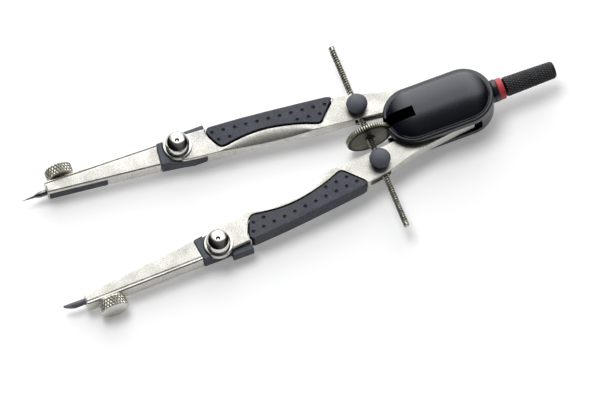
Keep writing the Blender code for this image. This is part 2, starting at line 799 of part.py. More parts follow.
def grip(name, side):
    half = LEG_HALF_THICKNESS + GRIP_PROUD
    origin = (*leg_point(0, PIVOT_OFFSET, side), 0)
    sleeve = add_object(f"grip_{name}", prism_mesh(name, grip_outline(side), -half, half), origin, COMPASS)
    soften(sleeve, GRIP_EDGE, 2)
    web_half = half - GRIP_WALL
    core = offset_outline(core_outline(side), FIT)
    web = add_object(f"grip_core_{name}", prism_mesh(name, core, -web_half, web_half))
    return dress(cut(sleeve, web), SLATE, 0.65, 0.0)


def scoop(name, side, up):
    """A crescent bite out of the inner edge, sloping down towards the edge."""
    near, far = INNER_EDGE_SHARES[5], INNER_EDGE_SHARES[6]
    mid_along = SCOOP_MIDDLE_SHARE * LEG_LENGTH
    slope = (far[1] - near[1]) * LEG_SPREAD / ((far[0] - near[0]) * LEG_LENGTH)
    edge = near[1] * LEG_SPREAD + slope * (mid_along - near[0] * LEG_LENGTH)
    lean = math.atan(slope)
    back = SCOOP_RADIUS - SCOOP_BITE
    x, y = leg_point(mid_along + back * math.sin(lean), edge - back * math.cos(lean), side)
    top = LEG_HALF_THICKNESS
    floor = top - SCOOP_DEPTH
    rise = (SCOOP_DEPTH + OVERRUN) / SCOOP_DEPTH
    floor_radius = SCOOP_RADIUS - SCOOP_RUN
    top_radius = floor_radius + SCOOP_RUN * rise
    mesh = rod_mesh(
        name, (x, y, up * floor), (x, y, up * (top + OVERRUN)), floor_radius, top_radius, steps=SCOOP_STEPS
    )
    return add_object(f"scoop_{name}_{up}", mesh)


def spindle_slot(name, side):
    """The way through the leg that lets the spindle swing from the closed to the widest setting."""
    x, y = SPINDLE_X, side * TRUNNION_OFFSET
    reach = side * SLOT_REACH
    neck = SPINDLE_RADIUS + RUNNING_FIT
    spread_long = neck + SLOT_REACH * math.tan(OPEN_SLOT_SWING)
    spread_inner = neck + SLOT_REACH * math.tan(INNER_SLOT_SWING)
    spread_short = neck + SLOT_REACH * math.tan(CLOSE_SLOT_SWING)
    outline = [
        (x - spread_long, y + reach),
        (x - neck, y),
        (x - spread_short, y - reach),
        (x + spread_inner, y - reach),
        (x + neck, y),
        (x + spread_short, y + reach),
    ]
    half = SPINDLE_RADIUS + SLOT_CLEARANCE
    return add_object(f"spindle_slot_{name}", prism_mesh(name, outline, -half, half))


def knee_point(side):
    return (*leg_point(KNEE_REACH, KNEE_OFFSET, side), 0)


def upper_leg(name, side, phase):
    """The nickel leg: gear eye, trunnion seat, grip web, scoops and the knee tongue."""
    pivot = (*leg_point(0, PIVOT_OFFSET, side), 0)
    outline = edge_points(INNER_EDGE_SHARES, side) + edge_points(OUTER_EDGE_SHARES, side)[::-1]
    outline = eased(outline, LEG_CORNER)
    half = LEG_HALF_THICKNESS
    leg = add_object(f"upper_leg_{name}", prism_mesh(name, outline, -half, half), pivot, COMPASS)
    soften(leg, LEG_EDGE)
    knee_x, knee_y, _ = knee_point(side)
    disc = add_object(f"tongue_disc_{name}", rod_mesh(
        name, (knee_x, knee_y, -half), (knee_x, knee_y, half), TONGUE_RADIUS, steps=FINE_STEPS))
    join(leg, disc)
    far = LEG_LENGTH
    profile_mesh = prism_mesh(name, side_profile_outline(), -far, far, upright=True)
    profile = add_object(f"leg_profile_{name}", profile_mesh)
    boolean(leg, profile, "INTERSECT")
    thin = LEG_THIN_HALF
    eye = add_object(f"gear_eye_{name}", prism_mesh(name, gear_eye_outline(side, phase), -thin, thin))
    join(leg, eye)
    step = add_object(f"knee_step_{name}", rod_mesh(
        name,
        (knee_x, knee_y, -half - OVERRUN),
        (knee_x, knee_y, TONGUE_UNDERSIDE),
        STEP_RADIUS,
        steps=FINE_STEPS,
    ))
    cut(leg, step)
    holes = (
        ("pivot_hole", leg_point(0, PIVOT_OFFSET, side), PIN_RADIUS + RUNNING_FIT),
        ("trunnion_hole", (SPINDLE_X, side * TRUNNION_OFFSET), TRUNNION_RADIUS + RUNNING_FIT),
        ("knee_hole", (knee_x, knee_y), SCREW_RADIUS + RUNNING_FIT),
    )
    reach = half + OVERRUN
    for label, (x, y), radius in holes:
        mesh = rod_mesh(name, (x, y, -reach), (x, y, reach), radius, steps=SMALL_STEPS)
        cut(leg, add_object(f"{label}_{name}", mesh))
    cut(leg, spindle_slot(name, side))
    cut(leg, grip_room(name, side))
    for up in (1, -1):
        cut(leg, scoop(name, side, up))
    return dress(leg, NICKEL, 0.28, 1.0)


# Knee

def knee_washer(name, side):
    x, y, _ = knee_point(side)
    bore = SCREW_RADIUS + FIT
    ease = RUNNING_FIT
    profile = (
        (bore, WASHER_THICKNESS),
        (WASHER_RADIUS - ease, WASHER_THICKNESS),
        (WASHER_RADIUS, WASHER_THICKNESS - ease),
        (WASHER_RADIUS, 0),
        (bore, 0),
        (bore, WASHER_THICKNESS),
    )
    washer = turned(f"knee_washer_{name}", profile, (x, y, LEG_HALF_THICKNESS + FIT))
    return dress(washer, CHROME, 0.12, 1.0)


def knee_knob(name, side):
    """The clamp screw: a flattened ball with a dimple, a narrow foot, and a shank through the knee."""
    x, y, _ = knee_point(side)
    seat = LEG_HALF_THICKNESS + FIT + WASHER_THICKNESS + FIT
    foot_angle = math.asin(KNOB_FOOT_RADIUS / KNOB_RADIUS)
    dimple_angle = math.asin(KNOB_DIMPLE_RADIUS / KNOB_RADIUS)
    centre = seat + KNOB_FOOT_HEIGHT + KNOB_HALF_HEIGHT * math.cos(foot_angle)
    rim = centre + KNOB_HALF_HEIGHT * math.cos(dimple_angle)
    profile = [(0, rim - KNOB_DIMPLE_DEPTH), (KNOB_DIMPLE_RADIUS / 2, rim - KNOB_DIMPLE_DEPTH)]
    span = math.radians(180) - foot_angle - dimple_angle
    steps = 2 * DOME_STEPS
    for i in range(steps + 1):
        swing = dimple_angle + span * i / steps
        profile.append((KNOB_RADIUS * math.sin(swing), centre + KNOB_HALF_HEIGHT * math.cos(swing)))
    bottom = FIT - BLOCK_UNDERSIDE
    profile += [(KNOB_FOOT_RADIUS, seat), (SCREW_RADIUS, seat), (SCREW_RADIUS, bottom), (0, bottom)]
    return dress(turned(f"knee_knob_{name}", profile, (x, y, 0)), CHROME, 0.08, 1.0)


def knee_nut(name, side):
    x, y, _ = knee_point(side)
    bore = SCREW_RADIUS + FIT
    bottom = -BLOCK_UNDERSIDE
    top = bottom + NUT_THICKNESS
    ease = RUNNING_FIT
    profile = (
        (bore, top),
        (NUT_RADIUS, top),
        (NUT_RADIUS, bottom + ease),
        (NUT_RADIUS - ease, bottom),
        (bore, bottom),
        (bore, top),
    )
    return dress(turned(f"knee_nut_{name}", profile, (x, y, 0)), STEEL, 0.3, 1.0)


# Lower leg

def lower_point(along, out, side):
    """A point on the lower leg's plan: distance from the knee to the tip, and outwards from the knee."""
    return (PIVOT_X - KNEE_REACH - along, side * (KNEE_OFFSET + out))


def lower_edge(along, at_knee, at_tip):
    """How far an edge of the lower leg lies out from the knee's line, at a distance along it."""
    share = (along - LOWER_START) / (LOWER_END - LOWER_START)
    return at_knee + (at_tip - at_knee) * share


def lower_outer(along):
    return lower_edge(along, LOWER_OUTER_AT_KNEE, LOWER_OUTER_AT_TIP)


def lower_inner(along):
    return lower_edge(along, -LOWER_INNER_AT_KNEE, -LOWER_INNER_AT_TIP)


def knee_block(name, side):
    """The dark block under the tongue, with its end wall, its stop tab and a tenon into the leg."""
    knee_x, knee_y, _ = knee_point(side)
    half = LOWER_HALF_THICKNESS
    base = -BLOCK_UNDERSIDE
    end = LOWER_START - FIT
    reach = STEP_RADIUS + OVERRUN
    beside = (KNEE_REACH - reach) / LEG_LENGTH
    outer = [s for s in OUTER_EDGE_SHARES if s[0] > beside]
    inner = [s for s in INNER_EDGE_SHARES if s[0] > beside]
    outline = [
        lower_point(end - LOWER_SLANT, LOWER_OUTER_AT_KNEE, side),
        *edge_points(reversed([(beside, outer[0][1])] + outer), side),
        *edge_points([(beside, inner[0][1])] + inner, side),
        lower_point(end + LOWER_SLANT, -LOWER_INNER_AT_KNEE, side),
    ]
    block = add_object(
        f"knee_block_{name}", prism_mesh(name, outline, base, half), knee_point(side), COMPASS
    )
    disc_radius = STEP_RADIUS - BLOCK_CLEARANCE
    disc = add_object(f"block_disc_{name}", rod_mesh(
        name, (knee_x, knee_y, -2 * half), (knee_x, knee_y, 2 * half), disc_radius, steps=FINE_STEPS))
    boolean(block, disc, "INTERSECT")
    start, stop = -TAB_START, -TAB_START - TAB_LENGTH
    inside = BLOCK_CLEARANCE - disc_radius
    tab_outline = [
        lower_point(start, TAB_OUT - 2 * TAB_WIDTH, side),
        lower_point(start, TAB_OUT, side),
        lower_point(stop, TAB_OUT, side),
        lower_point(stop, TAB_OUT - TAB_WIDTH, side),
        lower_point(inside, TAB_OUT - TAB_WIDTH, side),
        lower_point(inside, TAB_OUT - 2 * TAB_WIDTH, side),
    ]
    tab = add_object(f"block_tab_{name}", prism_mesh(name, tab_outline, base, TAB_TOP))
    join(block, tab)
    top = TONGUE_UNDERSIDE - RUNNING_FIT
    well = add_object(f"tongue_well_{name}", rod_mesh(
        name,
        (knee_x, knee_y, top),
        (knee_x, knee_y, half + OVERRUN),
        TONGUE_RADIUS + BLOCK_CLEARANCE,
        steps=FINE_STEPS,
    ))
    cut(block, well)
    rear = add_object(f"tongue_room_{name}", box_mesh(
        name,
        (knee_x - KNOB_RADIUS, knee_y - reach, top),
        (knee_x + 2 * reach, knee_y + reach, half + OVERRUN),
    ))
    cut(block, rear)
    tenon = add_object(f"block_tenon_{name}", box_mesh(
        name,
        (knee_x - end - TENON_LENGTH, knee_y - TENON_HALF_WIDTH, -TENON_HALF_HEIGHT),
        (knee_x - end + OVERRUN, knee_y + TENON_HALF_WIDTH, TENON_HALF_HEIGHT),
    ))
    join(block, tenon)
    hole = add_object(f"block_hole_{name}", rod_mesh(
        name,
        (knee_x, knee_y, -2 * half),
        (knee_x, knee_y, 2 * half),
        SCREW_RADIUS + RUNNING_FIT,
        steps=SMALL_STEPS,
    ))
    cut(block, hole)
    seat = add_object(f"nut_seat_{name}", rod_mesh(
        name,
        (knee_x, knee_y, base - OVERRUN),
        (knee_x, knee_y, base + NUT_THICKNESS + FIT),
        NUT_RADIUS + FIT,
    ))
    cut(block, seat)
    return dress(block, SLATE, 0.55, 0.0)


def point_axis(along, side):
    x, y = lower_point(along, POINT_OFFSET, side)
    return (x, y, 0)


def bar_end(side):
    """Where the bar ends: a little short on the needle's side and long on the lead's."""
    return LOWER_END - NEEDLE_LEG_TRIM if side > 0 else LOWER_END + LEAD_LEG_EXTRA


def point_bore(name, side, radius):
    mesh = rod_mesh(
        name,
        point_axis(POINT_REACH - POINT_SHANK - POINT_END_ROOM, side),
        point_axis(bar_end(side) + OVERRUN, side),
        radius + POINT_BORE_CLEARANCE,
        steps=SMALL_STEPS,
    )
    return add_object(f"point_bore_{name}", mesh)


def jaw_outline(side, grow=0):
    """The dark strip let into the inner wall beside the point."""
    start, end = JAW_START - grow, bar_end(side) - JAW_SETBACK + grow
    return [
        lower_point(start, lower_inner(start), side),
        lower_point(start, lower_inner(start) + JAW_THICKNESS + grow, side),
        lower_point(end, lower_inner(end) + JAW_THICKNESS + grow, side),
        lower_point(end, lower_inner(end), side),
    ]


def lower_leg(name, side, bore):
    """The nickel bar below the knee, bored for its point and let in for its jaw."""
    half = LOWER_HALF_THICKNESS
    tip = bar_end(side)
    outline = [
        lower_point(LOWER_START - LOWER_SLANT, lower_outer(LOWER_START), side),
        lower_point(tip, lower_outer(tip), side),
        lower_point(tip, lower_inner(tip), side),
        lower_point(LOWER_START + LOWER_SLANT, lower_inner(LOWER_START), side),
    ]
    bar = add_object(f"lower_leg_{name}", prism_mesh(name, outline, -half, half), knee_point(side), COMPASS)
    soften(bar, LEG_EDGE)
    knee_x, knee_y, _ = knee_point(side)
    mortise = add_object(f"mortise_{name}", box_mesh(
        name,
        (
            knee_x - LOWER_START - TENON_LENGTH - FIT,
            knee_y - TENON_HALF_WIDTH - FIT,
            -TENON_HALF_HEIGHT - FIT,
        ),
        (knee_x - LOWER_START + OVERRUN, knee_y + TENON_HALF_WIDTH + FIT, TENON_HALF_HEIGHT + FIT),
    ))
    cut(bar, mortise)
    cut(bar, bore)
    room_outline = jaw_outline(side, FIT)
    outer_start = (room_outline[0][0], room_outline[0][1] - side * OVERRUN)
    outer_end = (room_outline[3][0], room_outline[3][1] - side * OVERRUN)
    room = [outer_start, room_outline[1], room_outline[2], outer_end]
    jaw_room = add_object(f"jaw_room_{name}", prism_mesh(name, room, -half - OVERRUN, JAW_TOP + FIT))
    cut(bar, jaw_room)
    x, y = lower_point(CLAMP_X, POINT_OFFSET, side)
    hole_end = y + side * (lower_outer(CLAMP_X) + OVERRUN)
    hole = add_object(f"clamp_hole_{name}", rod_mesh(
        name, (x, y, 0), (x, hole_end, 0), CLAMP_SHANK_RADIUS + RUNNING_FIT, steps=SMALL_STEPS))
    cut(bar, hole)
    for up in (1, -1):
        groove_outline = [
            lower_point(LOWER_START - OVERRUN, lower_outer(LOWER_START) - GROOVE_INSET, side),
            lower_point(tip + OVERRUN, lower_outer(tip) - GROOVE_INSET, side),
            lower_point(tip + OVERRUN, lower_outer(tip) - GROOVE_INSET - GROOVE_WIDTH, side),
            lower_point(LOWER_START - OVERRUN, lower_outer(LOWER_START) - GROOVE_INSET - GROOVE_WIDTH, side),
        ]
        floor, roof = sorted((up * (half - GROOVE_DEPTH), up * (half + OVERRUN)))
        groove = add_object(f"groove_{name}_{up}", prism_mesh(name, groove_outline, floor, roof))
        cut(bar, groove)
    return dress(bar, NICKEL, 0.28, 1.0)


def clamp_jaw(name, side, bore):
    mesh = prism_mesh(name, jaw_outline(side), -LOWER_HALF_THICKNESS, JAW_TOP)
    jaw = add_object(f"clamp_jaw_{name}", mesh, knee_point(side), COMPASS)
    return dress(cut(jaw, bore), SLATE, 0.55, 0.0)


def clamp_screw(name, side, point_radius):
    """The knurled disc outside the lower leg, with its neck and the shank that bears on the point."""
    x, y = lower_point(CLAMP_X, 0, side)
    neck_start = lower_outer(CLAMP_X) + BLOCK_CLEARANCE
    disc_start = neck_start + CLAMP_NECK_LENGTH
    middle = y + side * (disc_start + CLAMP_DISC_WIDTH / 2)
    disc = notched_disc_mesh(
        name, CLAMP_DISC_RADIUS, CLAMP_DISC_WIDTH, CLAMP_DISC_CHAMFER, CLAMP_NOTCHES, CLAMP_NOTCH_DEPTH
    )
    disc.transform(Matrix.Rotation(math.radians(90), 4, "X"))
    disc.transform(Matrix.Translation((x, middle, 0)))
    screw = add_object(f"clamp_screw_{name}", disc, (x, middle, 0), COMPASS)
    neck = add_object(f"clamp_neck_{name}", rod_mesh(
        name, (x, y + side * neck_start, 0), (x, middle, 0), CLAMP_NECK_RADIUS, steps=ROUND_STEPS))
    join(screw, neck)
    tip = POINT_OFFSET + point_radius + RUNNING_FIT
    shank = add_object(f"clamp_shank_{name}", rod_mesh(
        name, (x, y + side * tip, 0), (x, middle, 0), CLAMP_SHANK_RADIUS, steps=SMALL_STEPS))
    join(screw, shank)
    return dress(screw, CHROME, 0.2, 1.0)


def needle():
    """The steel point on the positive Y side."""
    profile = (
        (0, POINT_SHANK),
        (NEEDLE_RADIUS, POINT_SHANK),
        (NEEDLE_RADIUS, NEEDLE_SHOULDER),
        (NEEDLE_NECK_RADIUS, NEEDLE_NECK),
        (0, 0),
    )
    obj = turned("needle", profile, point_axis(POINT_REACH, 1), SMALL_STEPS, ALONG_X)
    return dress(obj, STEEL, 0.2, 1.0)


def lead():
    """The drawing lead on the negative Y side, ground to a chisel on its outer side."""
    start, end = point_axis(POINT_REACH, -1), point_axis(POINT_REACH - POINT_SHANK, -1)
    bm = bmesh.new()
    bm.from_mesh(rod_mesh("lead", start, end, LEAD_RADIUS, steps=SMALL_STEPS))
    tip = Vector(start)
    through = tip + Vector((0, LEAD_RADIUS - LEAD_FLAT, 0))
    slope = Vector((LEAD_BEVEL, -(2 * LEAD_RADIUS - LEAD_FLAT), 0))
    normal = Vector((slope.y, -slope.x, 0)).normalized()
    geometry = bm.verts[:] + bm.edges[:] + bm.faces[:]
    sliced = bmesh.ops.bisect_plane(bm, geom=geometry, plane_co=through, plane_no=normal, clear_outer=True)
    rim = [e for e in sliced["geom_cut"] if isinstance(e, bmesh.types.BMEdge)]
    bmesh.ops.holes_fill(bm, edges=rim)
    obj = add_object("lead", mesh_from(bm, "lead"), point_axis(POINT_REACH, -1), COMPASS)
    return dress(obj, GRAPHITE, 0.5, 0.0)


def build_leg(name, side, phase, point, point_radius):
    """One leg with everything on it, hung on empties at its pivot, its trunnion and its knee."""
    pivot = axis_empty(f"pivot_axis_{name}", leg_point(0, PIVOT_OFFSET, side) + (0,))
    swivel = axis_empty(f"trunnion_axis_{name}", (SPINDLE_X, side * TRUNNION_OFFSET, 0))
    knee = axis_empty(f"knee_axis_{name}", knee_point(side))
    leg = upper_leg(name, side, phase)
    carry(pivot, leg, grip(name, side), knee_washer(name, side), knee_knob(name, side))
    carry(swivel, *trunnion(name, side))
    bore = point_bore(name, side, point_radius)
    carry(
        knee,
        lower_leg(name, side, bore),
        knee_block(name, side),
        knee_nut(name, side),
        clamp_jaw(name, side, bore),
        clamp_screw(name, side, point_radius),
        point,
    )


def build_compass():
    head_cover("head_front_cover", 1)
    head_cover("head_back_cover", -1)
    pivot_pin("leg_pivot_pin_a", 1)
    pivot_pin("leg_pivot_pin_b", -1)
    build_handle()
    build_spindle()
    half_pitch = math.pi / GEAR_TEETH
    build_leg("a", 1, 0, needle(), NEEDLE_RADIUS)
    build_leg("b", -1, half_pitch, lead(), LEAD_RADIUS)


build_compass()
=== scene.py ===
"""A master bow compass lying on a pale floor: fine pieces, materials, light and camera.

Lengths are in metres through MM. The sizes repeat those of the CAD solids that the fine
pieces stand for. Heights in a turned piece's profile are counted along its own axis.
"""

import math

import bmesh
import bpy
from mathutils import Matrix, Vector
from mathutils.bvhtree import BVHTree

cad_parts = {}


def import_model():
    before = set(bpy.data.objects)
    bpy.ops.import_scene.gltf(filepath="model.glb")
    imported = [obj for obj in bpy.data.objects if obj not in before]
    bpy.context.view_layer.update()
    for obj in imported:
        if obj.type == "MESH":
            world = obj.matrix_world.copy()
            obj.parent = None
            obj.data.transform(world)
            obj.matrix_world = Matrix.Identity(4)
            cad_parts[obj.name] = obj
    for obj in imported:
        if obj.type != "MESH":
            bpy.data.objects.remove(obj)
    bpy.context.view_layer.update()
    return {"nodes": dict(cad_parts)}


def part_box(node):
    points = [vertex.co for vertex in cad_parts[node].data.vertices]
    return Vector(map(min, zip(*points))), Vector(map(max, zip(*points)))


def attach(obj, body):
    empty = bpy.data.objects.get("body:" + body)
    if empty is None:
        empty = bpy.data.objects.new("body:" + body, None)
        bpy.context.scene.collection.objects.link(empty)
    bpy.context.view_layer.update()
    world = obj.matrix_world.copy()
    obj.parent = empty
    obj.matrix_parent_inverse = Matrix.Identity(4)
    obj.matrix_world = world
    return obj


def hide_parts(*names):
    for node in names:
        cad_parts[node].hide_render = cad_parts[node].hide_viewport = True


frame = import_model()

MM = 0.001
MID_Z = 7.5 * MM
SIDES = {"a": 1, "b": -1}

FIT = 0.1 * MM  # the least chamfer and the clearance between pieces
NEAR = 0.01 * MM  # how far off a face a point may lie and still count as on it
SAME = 0.002 * MM  # points closer than this are one
SMOOTH = math.radians(38)
EDGE = math.radians(35)

# Head
HEAD_HALF_SPAN = 8.4 * MM
HEAD_RADIUS = 9.35 * MM
HEAD_HEIGHT = 7.5 * MM
SKIRT_HEIGHT = 4.8 * MM
SKIRT_ROUND = 0.45 * MM
DOME_RADIUS = 8.3 * MM
DOME_POWER = 0.94
DOME_STEPS = 24
LAND_RADIUS = 0.5 * MM
LEG_ROOM = 2.4 * MM
ROOM_REAR_X = 11.2 * MM
SLOT_WIDTH = 3.6 * MM
SLOT_END_X = -7.9 * MM
NECK_RADIUS = 3.6 * MM
NECK_END_X = 17.85 * MM

# Rings behind the neck
COLLAR_RADIUS = 3.6 * MM
COLOUR_RING_RADIUS = 3.45 * MM
RING_BORE = 1.35 * MM
RING_ROUND = 0.22 * MM

# Handle and its diamond pattern
HANDLE_START_X = 21.6 * MM
HANDLE_LENGTH = 17.0 * MM
HANDLE_ROOT = 3.2 * MM
HANDLE_END = 2.8 * MM
HANDLE_ROUND = 0.7 * MM
DIAMONDS_ROUND = 24
DIAMOND_LENGTH = 0.82 * MM
DIAMOND_DEPTH = 0.24 * MM
DIAMOND_MARGIN = 0.5 * MM
DIAMOND_FADE = 0.4 * MM
HANDLE_ROWS = 200
HANDLE_STEPS = 144

# Spindle and its thread, as shares of the depth at the rows of one turn
SPINDLE_X = -23.1 * MM
SPINDLE_RADIUS = 1.12 * MM
SPINDLE_HALF = 32.7 * MM
THREAD_PITCH = 0.8 * MM
THREAD_DEPTH = 0.24 * MM
THREAD_SHARES = (0.0, 0.6, 1.0, 0.4)
THREAD_STEPS = 20
TIP_LENGTH = 1.4 * MM
TIP_CHAMFER = 0.25 * MM
TIP_LAP = 0.3 * MM

# Wheel
WHEEL_RADIUS = 7.4 * MM
WHEEL_HALF = 0.95 * MM
WHEEL_CHAMFER = 0.28 * MM
NOTCHES = 56
NOTCH_DEPTH = 0.24 * MM
NOTCH_SLOPE = 1.6
HUB_RADIUS = 1.8 * MM
HUB_HALF = 1.2 * MM
RIM_BAND = 1.5 * MM
FACE_SINK = 0.12 * MM
FACE_SLOPE = 0.35 * MM
FACE_RELIEF = 0.4
FACE_START = 0.5 * MM  # in from the rim, where the tint is the face's

# Clamp screws at the points
CLAMP_HALF = 1.75 * MM
CLAMP_BORE = 0.4 * MM
CLAMP_CHAMFER = 0.35 * MM
CLAMP_STARTS = 28
CLAMP_CELLS = 3.0
CLAMP_DEPTH = 0.3 * MM
CLAMP_ROWS = 20
STEM_RADIUS = 1.15 * MM
STEM_COLLAR = 2.3 * MM
STEM_FLARE = 0.45 * MM  # the stem flares from here to the step, behind the disc
STEM_STEP = 0.3 * MM
STEM_CORE = 0.38 * MM
STEM_SINK = 0.02 * MM

# Caps on the nuts
CAP_NECK_HEIGHT = 1.8 * MM
CAP_NECK_RADIUS = 2.95 * MM
CAP_UNDERCUT = 0.25 * MM
CAP_POWER = 0.9
CAP_STEPS = 16

# Knee washers and knobs: the crown is a superellipse, and the land round its dimple is flat
WASHER_BORE = 1.5 * MM
WASHER_ROUND = 0.18 * MM
KNOB_RADIUS = 3.85 * MM
KNOB_HALF_HEIGHT = 2.6 * MM
KNOB_CROWN = 3.4
KNOB_LAND = 0.7 * MM
KNOB_FOOT = 3.45 * MM
KNOB_UNDERSIDE = 3.3 * MM
KNOB_SHANK = 1.4 * MM
KNOB_SEAT_Z = MID_Z + 3.5 * MM
KNOB_STEPS = 40
DIMPLE_RADIUS = 0.60 * MM
DIMPLE_DEPTH = 0.45 * MM
DIMPLE_RISE = 0.36 * MM
DIMPLE_STEPS = 5

# Legs
EDGE_ROUND = 0.14 * MM
EDGE_SEGMENTS = 2
FLAT = math.radians(0.6)
JAW_ROOM_TOP = MID_Z + 1.1 * MM  # top of the room for the dark strip in a lower leg

# Grips: how they draw back from the leg's walls, their rows of pits, and how far painted shade reaches
# along the seams and down into the pits
DRAW_BACK = 0.4 * MM
DRAW_EASE = 0.72 * MM
DRAW_LEVEL = 0.35 * MM
SEAM_SHADE_REACH = 0.68 * MM
PIT_START = Vector((-68.1, 18.0)) * MM
PIT_RUN = Vector((0.994, -0.111))
PIT_PITCH = 3.6 * MM
PIT_ROW_GAP = 2.75 * MM
PIT_STAGGER = 0.38
PIT_ROWS = 3
PITS_IN_ROW = 12
PIT_MARGIN = 0.95 * MM
PIT_PROBES = 12
PIT_RADIUS = 0.62 * MM
PIT_RIM = 1.1 * PIT_RADIUS
PIT_SINK = 0.55 * MM
PIT_SHADE = 0.9 * MM
FACE_DROP = 0.15 * MM

# Floor, which the wheel and the two clamp screws rest on
FLOOR_SIZE = 3.0
FLOOR_GAP = 0.02 * MM
WHEEL_FOOT_Z = MID_Z - WHEEL_RADIUS
CLAMP_FOOT_Z = 3.0 * MM
CLAMP_FOOT_AWAY = 93.5 * MM
FLOOR_LIFT = 0.27
MIRRORED_SHARE = 0.4

# World: brightness by the angle to one direction, then by the place from left to right
SKY_AIM = Vector((0.35, 0.80, 0.48))
SKY_STRENGTH = 2.6
SKY_STOPS = (
    (0.0, 0.030), (0.30, 0.045), (0.64, 0.045), (0.715, 0.12), (0.765, 0.74), (0.86, 0.92), (0.95, 1.15))
WINDOW_STOPS = (
    (0.16, 0.04), (0.32, 0.16), (0.43, 0.52), (0.53, 0.94), (0.70, 1.0), (0.81, 0.45), (0.89, 0.08))

# Key lamp
KEY_TARGET = Vector((-0.045, 0, 0.005))
KEY_AIM = Vector((-0.10, 0.26, 0.96))
KEY_DISTANCE = 1.2
KEY_SIZE = 0.60
KEY_POWER = 8.0

# Camera, fitted to the photograph: its axes, what it looks at, and how wide it sees there
CAMERA_RIGHT = Vector((0.9356, -0.35184, -0.0294))
CAMERA_BACK = Vector((-0.11784, -0.38967, 0.91339))
CAMERA_AIM = Vector((-50.59, -12.49, 7.5)) * MM
CAMERA_RAISE = 0.30 * MM
CAMERA_LEFT = 0.12 * MM
CAMERA_ROLL = math.radians(0.42)
CAMERA_LENS = 900.0
CAMERA_SENSOR = 36.0
CAMERA_WIDTH = 185.4 * MM
CAMERA_CLIP = 20.0


# Meshes

def new_piece(name, mesh):
    obj = bpy.data.objects.new(name, mesh)
    bpy.context.scene.collection.objects.link(obj)
    return obj


def finish_mesh(bm, name, angle=SMOOTH):
    bmesh.ops.recalc_face_normals(bm, faces=bm.faces)
    mesh = plain_mesh(bm, name)
    shade(mesh, angle)
    return mesh


def plain_mesh(bm, name):
    mesh = bpy.data.meshes.new(name)
    bm.to_mesh(mesh)
    bm.free()
    return mesh


def shade(mesh, angle=SMOOTH):
    """Smooth faces with sharp edges past an angle, without stored normals."""
    stored = mesh.attributes.get("custom_normal")
    if stored:
        mesh.attributes.remove(stored)
    mesh.shade_smooth()
    mesh.set_sharp_from_angle(angle=angle)


def skin(name, rings, angle=SMOOTH):
    """A closed mesh through rings of points; a ring of one point is a pole."""
    bm = bmesh.new()
    rows = [[bm.verts.new(p) for p in ring] for ring in rings]
    for near, far in zip(rows, rows[1:]):
        count = max(len(near), len(far))
        for i in range(count):
            j = (i + 1) % count
            corners = [near[i % len(near)], near[j % len(near)], far[j % len(far)], far[i % len(far)]]
            corners = list(dict.fromkeys(corners))
            if len(corners) > 2:
                bm.faces.new(corners)
    for row in (rows[0], rows[-1]):
        if len(row) > 2:
            bm.faces.new(row)
    return finish_mesh(bm, name, angle)


def along(axis, centre, radius, swing, height):
    """A point round an axis: +X, +Y, +Z or their opposites."""
    sign = 1 if axis[0] == "+" else -1
    u, v, h = radius * math.cos(swing), radius * math.sin(swing), sign * height
    local = {"X": (h, u, v), "Y": (v, h, u), "Z": (u, v, h)}[axis[1]]
    return Vector(centre) + Vector(local)


def circle(axis, centre, radius, height, steps):
    return [along(axis, centre, radius, math.tau * i / steps, height) for i in range(steps)]


def lathe(name, profile, centre, axis="+Z", steps=64):
    rings = [circle(axis, centre, radius, height, steps if radius > 0 else 1) for radius, height in profile]
    return skin(name, rings)


def round_profile(points, reach, steps=4):
    """A profile with its corners rounded by curves of a set reach."""
    out = [points[0]]
    for before, here, after in zip(points, points[1:], points[2:]):
        b, h, a = Vector(before), Vector(here), Vector(after)
        near = h + (b - h).normalized() * min(reach, (b - h).length * 0.49)
        far = h + (a - h).normalized() * min(reach, (a - h).length * 0.49)
        for i in range(steps + 1):
            t = i / steps
            out.append(tuple(near.lerp(h, t).lerp(h.lerp(far, t), t)))
    out.append(points[-1])
    return out


def tri(value):
    """A wave of straight slopes from 0 to 1 and back in one unit."""
    return 1 - abs(2 * (value % 1) - 1)


def apply_modifiers(obj, name):
    bpy.context.view_layer.update()
    depsgraph = bpy.context.evaluated_depsgraph_get()
    mesh = bpy.data.meshes.new_from_object(obj.evaluated_get(depsgraph))
    obj.modifiers.clear()
    obj.data = mesh
    mesh.name = name


def mark_relief(mesh, value_at):
    """Keeps a number at each vertex, 0 in the grooves and 1 on the ridges, by which materials paint shade
    and highlight.
    """
    marks = mesh.attributes.new("relief", "FLOAT", "POINT")
    for vertex, mark in zip(mesh.vertices, marks.data):
        mark.value = min(max(value_at(vertex.co), 0), 1)


def block(low, high):
    low, high = Vector(low), Vector(high)
    bm = bmesh.new()
    fitted = Matrix.Translation((low + high) / 2) @ Matrix.Diagonal((high - low).to_4d())
    bmesh.ops.create_cube(bm, size=1, matrix=fitted)
    return new_piece("tool", plain_mesh(bm, "tool"))


def carve(obj, name, tools):
    """Unions and cuts in turn; the tools are removed afterwards."""
    for tool, operation in tools:
        modifier = obj.modifiers.new("cut", "BOOLEAN")
        modifier.operation = operation
        modifier.object = tool
        modifier.solver = "EXACT"
    apply_modifiers(obj, name)
    for tool, _ in tools:
        bpy.data.objects.remove(tool)


def weld(mesh):
    """Joins the points that a cut leaves on top of each other."""
    bm = bmesh.new()
    bm.from_mesh(mesh)
    bmesh.ops.remove_doubles(bm, verts=bm.verts, dist=SAME)
    bm.to_mesh(mesh)
    bm.free()


def wear(obj, body, mat):
    """The piece rides on a body and wears a material."""
    obj.data.materials.clear()
    obj.data.materials.append(mat)
    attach(obj, body)


def place(obj, node, body, mat):
    """The piece stands for a CAD node as well."""
    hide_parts(node)
    wear(obj, body, mat)


# Materials

